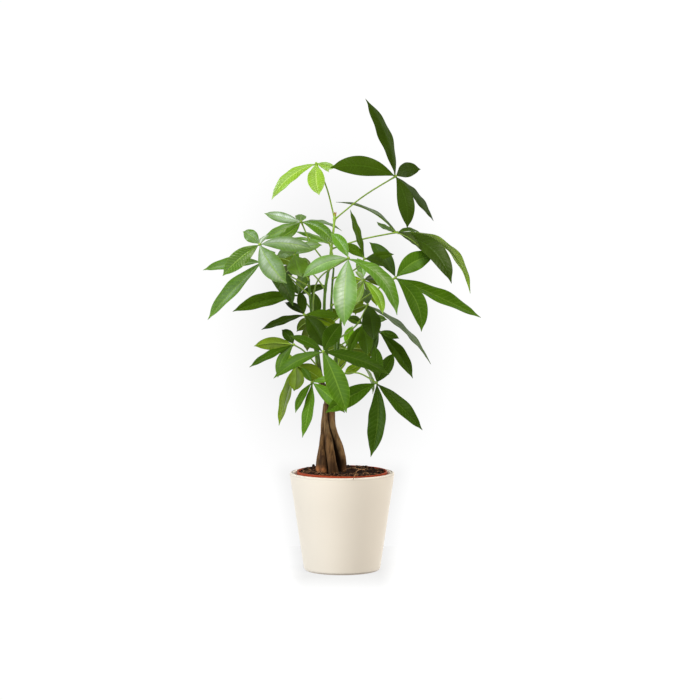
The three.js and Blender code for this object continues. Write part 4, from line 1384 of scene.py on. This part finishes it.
class MONEYTREE_OT_stems(Operator):
    """Stems: five green stems on the cut tops of the strands, with the stalks of their leaves"""

    bl_idname = "moneytree.stems"
    bl_label = "Stems and stalks"

    def execute(self, context):
        leaf = context.scene.money_tree_leaf
        stem_look = stem_material(leaf)
        stalk_look = stalk_material(leaf)
        for name, stem in STEMS.items():
            line = stem_line(name)
            owned = [row for row in LEAVES.values() if row.stem == name]
            shaft = tubes("shaft", [self.shaft(line, stem, owned)], 14)
            cover(shaft, stem_look)
            stalks = tubes("stalks", [self.stalk(line, row) for row in owned], 10)
            cover(stalks, stalk_look)
            piece = join(f"{name}_with_stalks", [shaft, stalks])
            smooth(piece)
            finish_piece(piece, "green_stem", name)
        return {"FINISHED"}

    def shaft(self, line, stem, owned):
        """The stem itself, tapering, with a swelling where each stalk leaves it."""
        thick, thin = stem.radius
        swelling, swollen_height = 0.45, 2.6
        tip, tip_share = 1.5, 0.55
        made = []
        for point, radius in with_radius(line, lambda share: thick + (thin - thick) * share):
            radius += sum(swelling * bell(point.z - row.height, swollen_height) for row in owned)
            made.append((point, radius))
        made.append((line[-1] + (line[-1] - line[-2]).normalized() * tip, thin * tip_share))
        return made

    def stalk(self, line, row):
        """One stalk, from its stem to the hub, swollen at both ends."""
        root = point_at_height(line, row.height)
        middle, at_stem, at_hub = 1.05, 1.9, 1.6
        stem_end, hub_end = 0.035, 0.05
        return with_radius(
            smooth_line([root, seen(*row.stalk), seen(*row.hub)]),
            lambda share: middle + (at_stem - middle) * bell(share, stem_end)
            + (at_hub - middle) * bell(1 - share, hub_end))


# How slowly a blade's width rises from its base and how slowly it falls to its tip, as powers
WIDTH_RISE, WIDTH_FALL = 1.15, 1.05

# How much wider one half of a blade can be than the other, half its width at the base and at the
# tip at the least, in millimetres, and how much of their rise the halves lose towards the edge
MOST_LEAN = 0.05
LEAST_HALF = (0.5, 0.08)
CURL_BACK = 0.4

# Under 1, the blade puffs up fully between its veins.
PUFF_POWER = 0.7

# The groove over the midrib, in millimetres
GROOVE_DEPTH = 0.2
GROOVE_WIDTH = 0.8

# The waves of the edge: their least and greatest number, how far the two halves are out of step,
# and their height as a share of half the width
EDGE_WAVES = (2.2, 3.6)
HALVES_APART = 2.0
WAVE_HEIGHT = 0.07

# How much more wax and painted sheen lies on one half than on the middle
WAX_AND_SHEEN_BIAS = 0.5

# A blade starts this far from the middle of its hub. Its rib has the first radius in the hub, then
# thins from the sum of the next two to the last, this far below the blade. All are in millimetres.
COLLAR = 1.1
RIB_FOOT = 0.95
RIB_THICK, RIB_THIN = 0.75, 0.1
RIB_DEPTH = 0.3


def blade_outline(along):
    """Half the width of a leaflet along its length, as a share of its widest."""
    widest = WIDTH_RISE / (WIDTH_RISE + WIDTH_FALL)
    most = widest ** WIDTH_RISE * (1 - widest) ** WIDTH_FALL
    outline = along ** WIDTH_RISE * (1 - along) ** WIDTH_FALL / most
    narrower, near_tip, tip_length = 0.3, 0.95, 0.05
    return outline * (1 - narrower * bell(along - near_tip, tip_length))


def unit(rows):
    """Vectors of length one."""
    return rows / np.linalg.norm(rows, axis=1, keepdims=True)


def blade_frame(hub, row, leaf):
    """Base, chord, bend, upper normal and width of a leaflet, in millimetres."""
    *tip, showing, arch, bulge, _ = row
    base = hub + (seen(*tip) - hub).normalized() * COLLAR
    chord = seen(*tip) - base
    towards_eye = (EYE - hub).normalized()
    straight = chord.normalized()
    facing = (towards_eye - straight * towards_eye.dot(straight)).normalized()
    upward = facing.cross(straight)
    if upward.z < 0:
        upward.negate()
    width = max(abs(showing), chord.length * leaf.slenderness)
    roll = math.acos(showing / width)
    upper = facing * math.cos(roll) + upward * math.sin(roll)
    bend = upward * arch + towards_eye * bulge
    return base, chord, bend, upper, width


class MONEYTREE_OT_leaves(Operator):
    """Leaves: three to six leaflets each, copied from one leaflet, on a small swollen hub"""

    bl_idname = "moneytree.leaves"
    bl_label = "Leaves"

    def execute(self, context):
        leaf = context.scene.money_tree_leaf
        draw = random.Random(leaf.seed)
        uppers = {
            (tone, finish): blade_material(
                f"{tone}_{finish}_blade", leaf, getattr(leaf, tone),
                getattr(leaf, "vein_" + tone), finish)
            for tone, finish in sorted({(row.tone, row.finish) for row in LEAVES.values()})
        }
        undersides = {
            tone: underside_material(
                f"{tone}_underside", leaf, getattr(leaf, "under_" + tone),
                getattr(leaf, "vein_" + tone))
            for tone in sorted({row.tone for row in LEAVES.values()})
        }
        stalk_look = stalk_material(leaf)
        pattern, across, along = grid("leaflet", 12, 64)
        deselect()
        bpy.ops.mesh.primitive_uv_sphere_add(segments=16, ring_count=10, radius=1.9 * MM)
        knob = named("hub")
        for name, row in LEAVES.items():
            hub = seen(*row.hub)
            blades = []
            leaflet_wax_and_sheen = LEAF_WAX_AND_SHEEN.get(name, [0] * len(row.leaflets))
            for leaflet, bloom in zip(row.leaflets, leaflet_wax_and_sheen):
                blade = own_copy(pattern)
                self.shape(blade, across, along, hub, leaflet, row.fold, bloom, leaf, draw)
                blades.append(blade)
            blades = join(f"{name}_blades", blades)
            cover(blades, uppers[row.tone, row.finish], undersides[row.tone], stalk_look)
            thicken = blades.modifiers.new("thickness", "SOLIDIFY")
            thicken.thickness = leaf.thickness
            thicken.offset = -1
            thicken.material_offset = 1
            apply_modifiers(blades)
            ribs = tubes(f"{name}_ribs", [self.rib(hub, r, leaf) for r in row.leaflets], 6)
            swelling = own_copy(knob)
            swelling.location = hub * MM
            settle(swelling)
            cover(ribs, stalk_look)
            cover(swelling, stalk_look)
            piece = join(f"{name}_hand", [blades, ribs, swelling])
            smooth(piece, 60)
            finish_piece(piece, SLOTS[row.tone], name)
        bpy.data.objects.remove(pattern)
        bpy.data.objects.remove(knob)
        return {"FINISHED"}

    def shape(self, blade, across, along, hub, leaflet, fold, bloom, leaf, draw):
        """Bends a flat leaflet to its place, with midrib, quilting and a slightly waved edge."""
        base, chord, bend, upper, width = blade_frame(hub, leaflet, leaf)
        s = along[:, None]
        middle = np.array(base) + s * np.array(chord) + 4 * s * (1 - s) * np.array(bend)
        tangent = unit(np.array(chord) + 4 * (1 - 2 * s) * np.array(bend))
        normal = unit(np.array(upper) - tangent * (tangent @ np.array(upper))[:, None])
        side = np.cross(tangent, normal)
        lean = draw.uniform(-MOST_LEAN, MOST_LEAN)
        half = width / 2 * blade_outline(along) * (1 + lean * np.sign(across))
        half = np.maximum(half, np.where(along < 0.5, *LEAST_HALF))
        out = np.abs(across)
        # The halves rise from the midrib and curl back, and the blade puffs up between its veins.
        lift = half * fold * (out - CURL_BACK * out ** 2)
        turns = math.pi * leaf.vein_pairs * (along - VEIN_SLANT * out)
        puffed = np.abs(np.sin(turns)) ** PUFF_POWER
        fade = risen(out, 0.12) * risen(1 - out, 0.3) * risen(half, 6)
        lift += leaf.quilting / MM * puffed * fade
        # The midrib is a shallow groove, and the edge is waved.
        lift -= GROOVE_DEPTH * bell(across * half, GROOVE_WIDTH) * risen(half, 3)
        waves = draw.uniform(*EDGE_WAVES)
        start = draw.uniform(0, math.tau)
        flare = np.sin(math.tau * waves * along + start + np.where(across > 0, 0, HALVES_APART))
        lift += WAVE_HEIGHT * half * out ** 3 * flare
        places = middle + side * (across * half)[:, None] + normal * lift[:, None]
        move_vertices(blade, places * MM)
        uneven = 1 + WAX_AND_SHEEN_BIAS * math.copysign(1, bloom) * np.sign(across) * (out > 0.03)
        # The shade paints light and shade onto the leaflet, with its own lighter or darker tone.
        mark_vertices(blade, "shade", np.full(len(along), leaflet[-1]))
        # Painted sheen, with some pale wax, stronger on one half.
        mark_vertices(blade, "bloom", abs(bloom) * uneven)

    def rib(self, hub, leaflet, leaf):
        """The midrib under a leaflet, thick at the hub and fine towards the tip."""
        base, chord, bend, upper, _ = blade_frame(hub, leaflet, leaf)
        line = [(hub, RIB_FOOT)]
        # It ends short of the tip.
        for share in (step / 20 for step in range(19)):
            tangent = (chord + bend * 4 * (1 - 2 * share)).normalized()
            normal = (upper - tangent * upper.dot(tangent)).normalized()
            middle = base + chord * share + bend * 4 * share * (1 - share)
            radius = RIB_THICK * (1 - share) ** 0.8 + RIB_THIN
            line.append((middle - normal * (radius + RIB_DEPTH), radius))
        return line


class MONEYTREE_OT_small_growth(Operator):
    """Small growth: the bud and its scale on the leader"""

    bl_idname = "moneytree.small_growth"
    bl_label = "Bud"

    def execute(self, context):
        leaf = context.scene.money_tree_leaf
        top = stem_line("stem_leader")[-1]
        bud = [(top + Vector((0, 0, z)), r) for z, r in BUD_PROFILE]
        scale = [(top + Vector((0.8 + z * 0.25, -0.6, z)), r) for z, r in BUD_SCALE_PROFILE]
        piece = tubes("leader_bud", [bud, scale], 10)
        cover(piece, bud_material(leaf))
        smooth(piece)
        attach(piece, "root")
        return {"FINISHED"}


# The camera's sensor, in millimetres, and how far it sees, in metres
SENSOR_WIDTH = 36
VIEW_REACH = 200

# The soft shade round the pot starts this far inside the pot's outline. Under the foot it starts
# this far below, and behind the rim over this height.
SHADE_INSIDE = 8 * MM
SHADE_BELOW = 8 * MM
SHADE_BEYOND = 125 * MM

# The oval shade on the backdrop, in the direction of sight: its middle and how far it reaches
OVAL_MIDDLE = (-0.004, -0.074)
OVAL_REACH = 0.05

# Each light: degrees right of the front, degrees up, distance, width and height, the setting of
# its power, its tint, and whether it shows in reflections
LAMPS = {
    "key_light": (-22, 34, 2.6, (2.0, 1.6), "key_power", (0.95, 0.98, 1), False),
    "side_light": (-75, 18, 2.6, (1.2, 1.4), "side_power", (0.9, 0.96, 1), True),
    "fill_light": (30, 42, 2.6, (1.1, 1.1), "fill_power", (1, 0.935, 0.82), True),
    "rim_light": (112, 16, 2.6, (0.8, 1.4), "rim_power", (1, 0.99, 0.97), False),
    "top_light": (-160, 65, 2.4, (1.4, 1.4), "top_power", (1, 1, 1), False),
}
LAMP_AIM = Vector((0, 0, 0.35))

# Where the surround changes from front to back (the direction's Y) and from below to above (its Z):
# as soft light, in reflections, and as the backdrop that the camera sees
SOFT_BACKWARD, SOFT_UPWARD = (-0.5, 0.8), (-0.2, 0.1)
GLOSS_BACKWARD, GLOSS_UPWARD = (0.1, 0.7), (-0.3, 0.15)
BACKDROP_BACKWARD = (0, 0.5)
SURROUND_TINT = (1, 0.985, 0.965)


def off_outline(look, pot, side, height):
    """How far outside the pot's outline the camera sees a place, which it sees at this side and
    height of the upright plane through the pot's axis."""
    slope = (pot.rim_radius - pot.foot_radius) / pot.height
    edge = look.math("MULTIPLY_ADD", height, slope, pot.foot_radius)
    beside = look.math("MAXIMUM", look.math("SUBTRACT", look.math("ABSOLUTE", side), edge))
    below = look.math("MINIMUM", look.math("ADD", height, SHADE_BELOW))
    beyond = look.math("MAXIMUM", look.math("SUBTRACT", height, SHADE_BEYOND))
    return look.length(look.node("CombineXYZ", {0: beside, 1: below, 2: beyond}).outputs[0])


class MONEYTREE_OT_stage(Operator):
    """Stage: the camera of the photograph, a pale floor and soft light"""

    bl_idname = "moneytree.stage"
    bl_label = "Stage"

    def execute(self, context):
        stage = context.scene.money_tree_stage
        pot = context.scene.money_tree_pot
        deselect()
        bpy.ops.object.camera_add(
            location=EYE * MM, rotation=(math.radians(90 - EYE_PITCH), 0, 0))
        camera = named("camera")
        camera.data.lens = stage.lens
        camera.data.sensor_width = SENSOR_WIDTH
        camera.data.clip_end = VIEW_REACH
        camera.data.shift_y = stage.shift
        context.scene.camera = camera
        deselect()
        bpy.ops.mesh.primitive_plane_add(size=stage.floor_size, location=(0, 0, 0))
        floor = named("floor")
        floor.data.materials.append(self.paper(stage, pot))
        # The floor takes shadows, and throws no light of its own back on the plant.
        floor.visible_diffuse = False
        floor.visible_glossy = False
        self.surround(context, stage, pot)
        for name, lamp in LAMPS.items():
            self.light(name, stage, *lamp)
        context.scene.view_settings.view_transform = "Standard"
        return {"FINISHED"}

    def paper(self, stage, pot):
        """The floor's pale paper, with a soft shade round the pot's outline."""
        look = Shader("pale_floor", 0.9, Specular_IOR_Level=0.0)
        look.surface.inputs["Base Color"].default_value = (*stage.paper, 1)
        look.surface.inputs["Emission Color"].default_value = (1, 1, 1, 1)
        eye = EYE * MM
        spot = look.spot()
        nearer = look.math("DIVIDE", -eye.y, look.math("SUBTRACT", spot["Y"], eye.y))
        side = look.math("MULTIPLY_ADD", look.math("SUBTRACT", spot["X"], eye.x), nearer, eye.x)
        height = look.math("MULTIPLY_ADD", nearer, -eye.z, eye.z)
        away = off_outline(look, pot, side, height)
        look.paint("Emission Strength", look.ramp(away, -SHADE_INSIDE, stage.halo,
                                                  stage.near_glow, stage.far_glow))
        return look.material

    def surround(self, context, stage, pot):
        """Light from all round: bright behind the plant, darker in front, white to the camera."""
        world = bpy.data.worlds.new("white_surround")
        world.use_nodes = True
        look = Wiring(world.node_tree)
        ahead = look.node("TexCoord").outputs["Generated"]
        way = look.split(ahead)
        rays = look.node("LightPath").outputs
        above = look.ramp(way["Y"], *SOFT_BACKWARD, stage.front_light, stage.back_light)
        shone = look.ramp(way["Z"], *SOFT_UPWARD, stage.under_light, above)
        level = look.ramp(way["Y"], *GLOSS_BACKWARD, stage.gloss_front, stage.gloss_back)
        mirrored = look.ramp(way["Z"], *GLOSS_UPWARD, stage.gloss_under, level)
        lit = look.ramp(rays["Is Glossy Ray"], 0, 1, shone, mirrored)
        # Behind the plant the camera sees a soft oval shade, and a narrow one round the pot.
        flat = stage.shadow_flatness
        middle_x, middle_z = OVAL_MIDDLE
        aside = look.node(
            "VectorMath", {0: ahead, 1: (1, 0, flat), 2: (-middle_x, 0, -middle_z * flat)},
            operation="MULTIPLY_ADD").outputs["Vector"]
        oval = look.ramp(look.length(aside), 0.0, OVAL_REACH, stage.backdrop_shade, stage.backdrop)
        eye = EYE * MM
        side = look.math("MULTIPLY_ADD", look.math("DIVIDE", way["X"], way["Y"]), -eye.y, eye.x)
        height = look.math("MULTIPLY_ADD", look.math("DIVIDE", way["Z"], way["Y"]), -eye.y, eye.z)
        away = off_outline(look, pot, side, height)
        ringed = look.product(oval, look.ramp(away, -SHADE_INSIDE, stage.ring, stage.ring_shade, 1))
        backdrop = look.ramp(way["Y"], *BACKDROP_BACKWARD, stage.backdrop, ringed)
        strength = look.ramp(rays["Is Camera Ray"], 0, 1, lit, backdrop)
        tint = look.mix(rays["Is Camera Ray"], SURROUND_TINT, (1, 1, 1))
        background = look.nodes["Background"]
        look.links.new(strength, background.inputs["Strength"])
        look.links.new(tint, background.inputs["Color"])
        context.scene.world = world

    def light(self, name, stage, turn, rise, away, size, power_setting, tint, glossy):
        """A large soft light that faces the crown."""
        deselect()
        turn, rise = math.radians(turn), math.radians(rise)
        way = round_about(math.cos(rise), turn, math.sin(rise))
        bpy.ops.object.light_add(
            type="AREA", location=LAMP_AIM + way * away,
            rotation=(-way).to_track_quat("-Z", "Y").to_euler())
        lamp = named(name)
        lamp.data.shape = "RECTANGLE"
        lamp.data.size, lamp.data.size_y = size
        lamp.data.energy = getattr(stage, power_setting)
        lamp.data.color = tint
        lamp.visible_glossy = glossy


class MONEYTREE_PT_parts(Panel):
    """Lists the pieces of the money tree and their settings"""

    bl_idname = "MONEYTREE_PT_parts"
    bl_label = "Money Tree"
    bl_space_type = "VIEW_3D"
    bl_region_type = "UI"
    bl_category = "Money Tree"

    def draw(self, context):
        scene = context.scene
        for operator, settings in PANEL_ROWS:
            box = self.layout.box()
            box.operator(operator.bl_idname)
            if settings:
                group = getattr(scene, settings)
                for key in group.__annotations__:
                    box.prop(group, key)


SETTINGS = {
    "money_tree_pot": PotSettings,
    "money_tree_soil": SoilSettings,
    "money_tree_trunk": TrunkSettings,
    "money_tree_leaf": LeafSettings,
    "money_tree_stage": StageSettings,
}
PANEL_ROWS = [
    (MONEYTREE_OT_outer_pot, "money_tree_pot"),
    (MONEYTREE_OT_nursery_pot, None),
    (MONEYTREE_OT_soil, "money_tree_soil"),
    (MONEYTREE_OT_trunk, "money_tree_trunk"),
    (MONEYTREE_OT_stems, None),
    (MONEYTREE_OT_leaves, "money_tree_leaf"),
    (MONEYTREE_OT_small_growth, None),
    (MONEYTREE_OT_stage, "money_tree_stage"),
]
CLASSES = [*SETTINGS.values(), *[row[0] for row in PANEL_ROWS], MONEYTREE_PT_parts]


def register():
    for cls in CLASSES:
        bpy.utils.register_class(cls)
    for name, group in SETTINGS.items():
        setattr(bpy.types.Scene, name, PointerProperty(type=group))


def unregister():
    for name in SETTINGS:
        delattr(bpy.types.Scene, name)
    for cls in reversed(CLASSES):
        bpy.utils.unregister_class(cls)


def main():
    """Builds every piece and the stage."""
    register()
    bpy.ops.moneytree.outer_pot()
    bpy.ops.moneytree.nursery_pot()
    bpy.ops.moneytree.soil()
    bpy.ops.moneytree.trunk()
    bpy.ops.moneytree.stems()
    bpy.ops.moneytree.leaves()
    bpy.ops.moneytree.small_growth()
    bpy.ops.moneytree.stage()
    deselect()


if __name__ == "__main__":
    main()
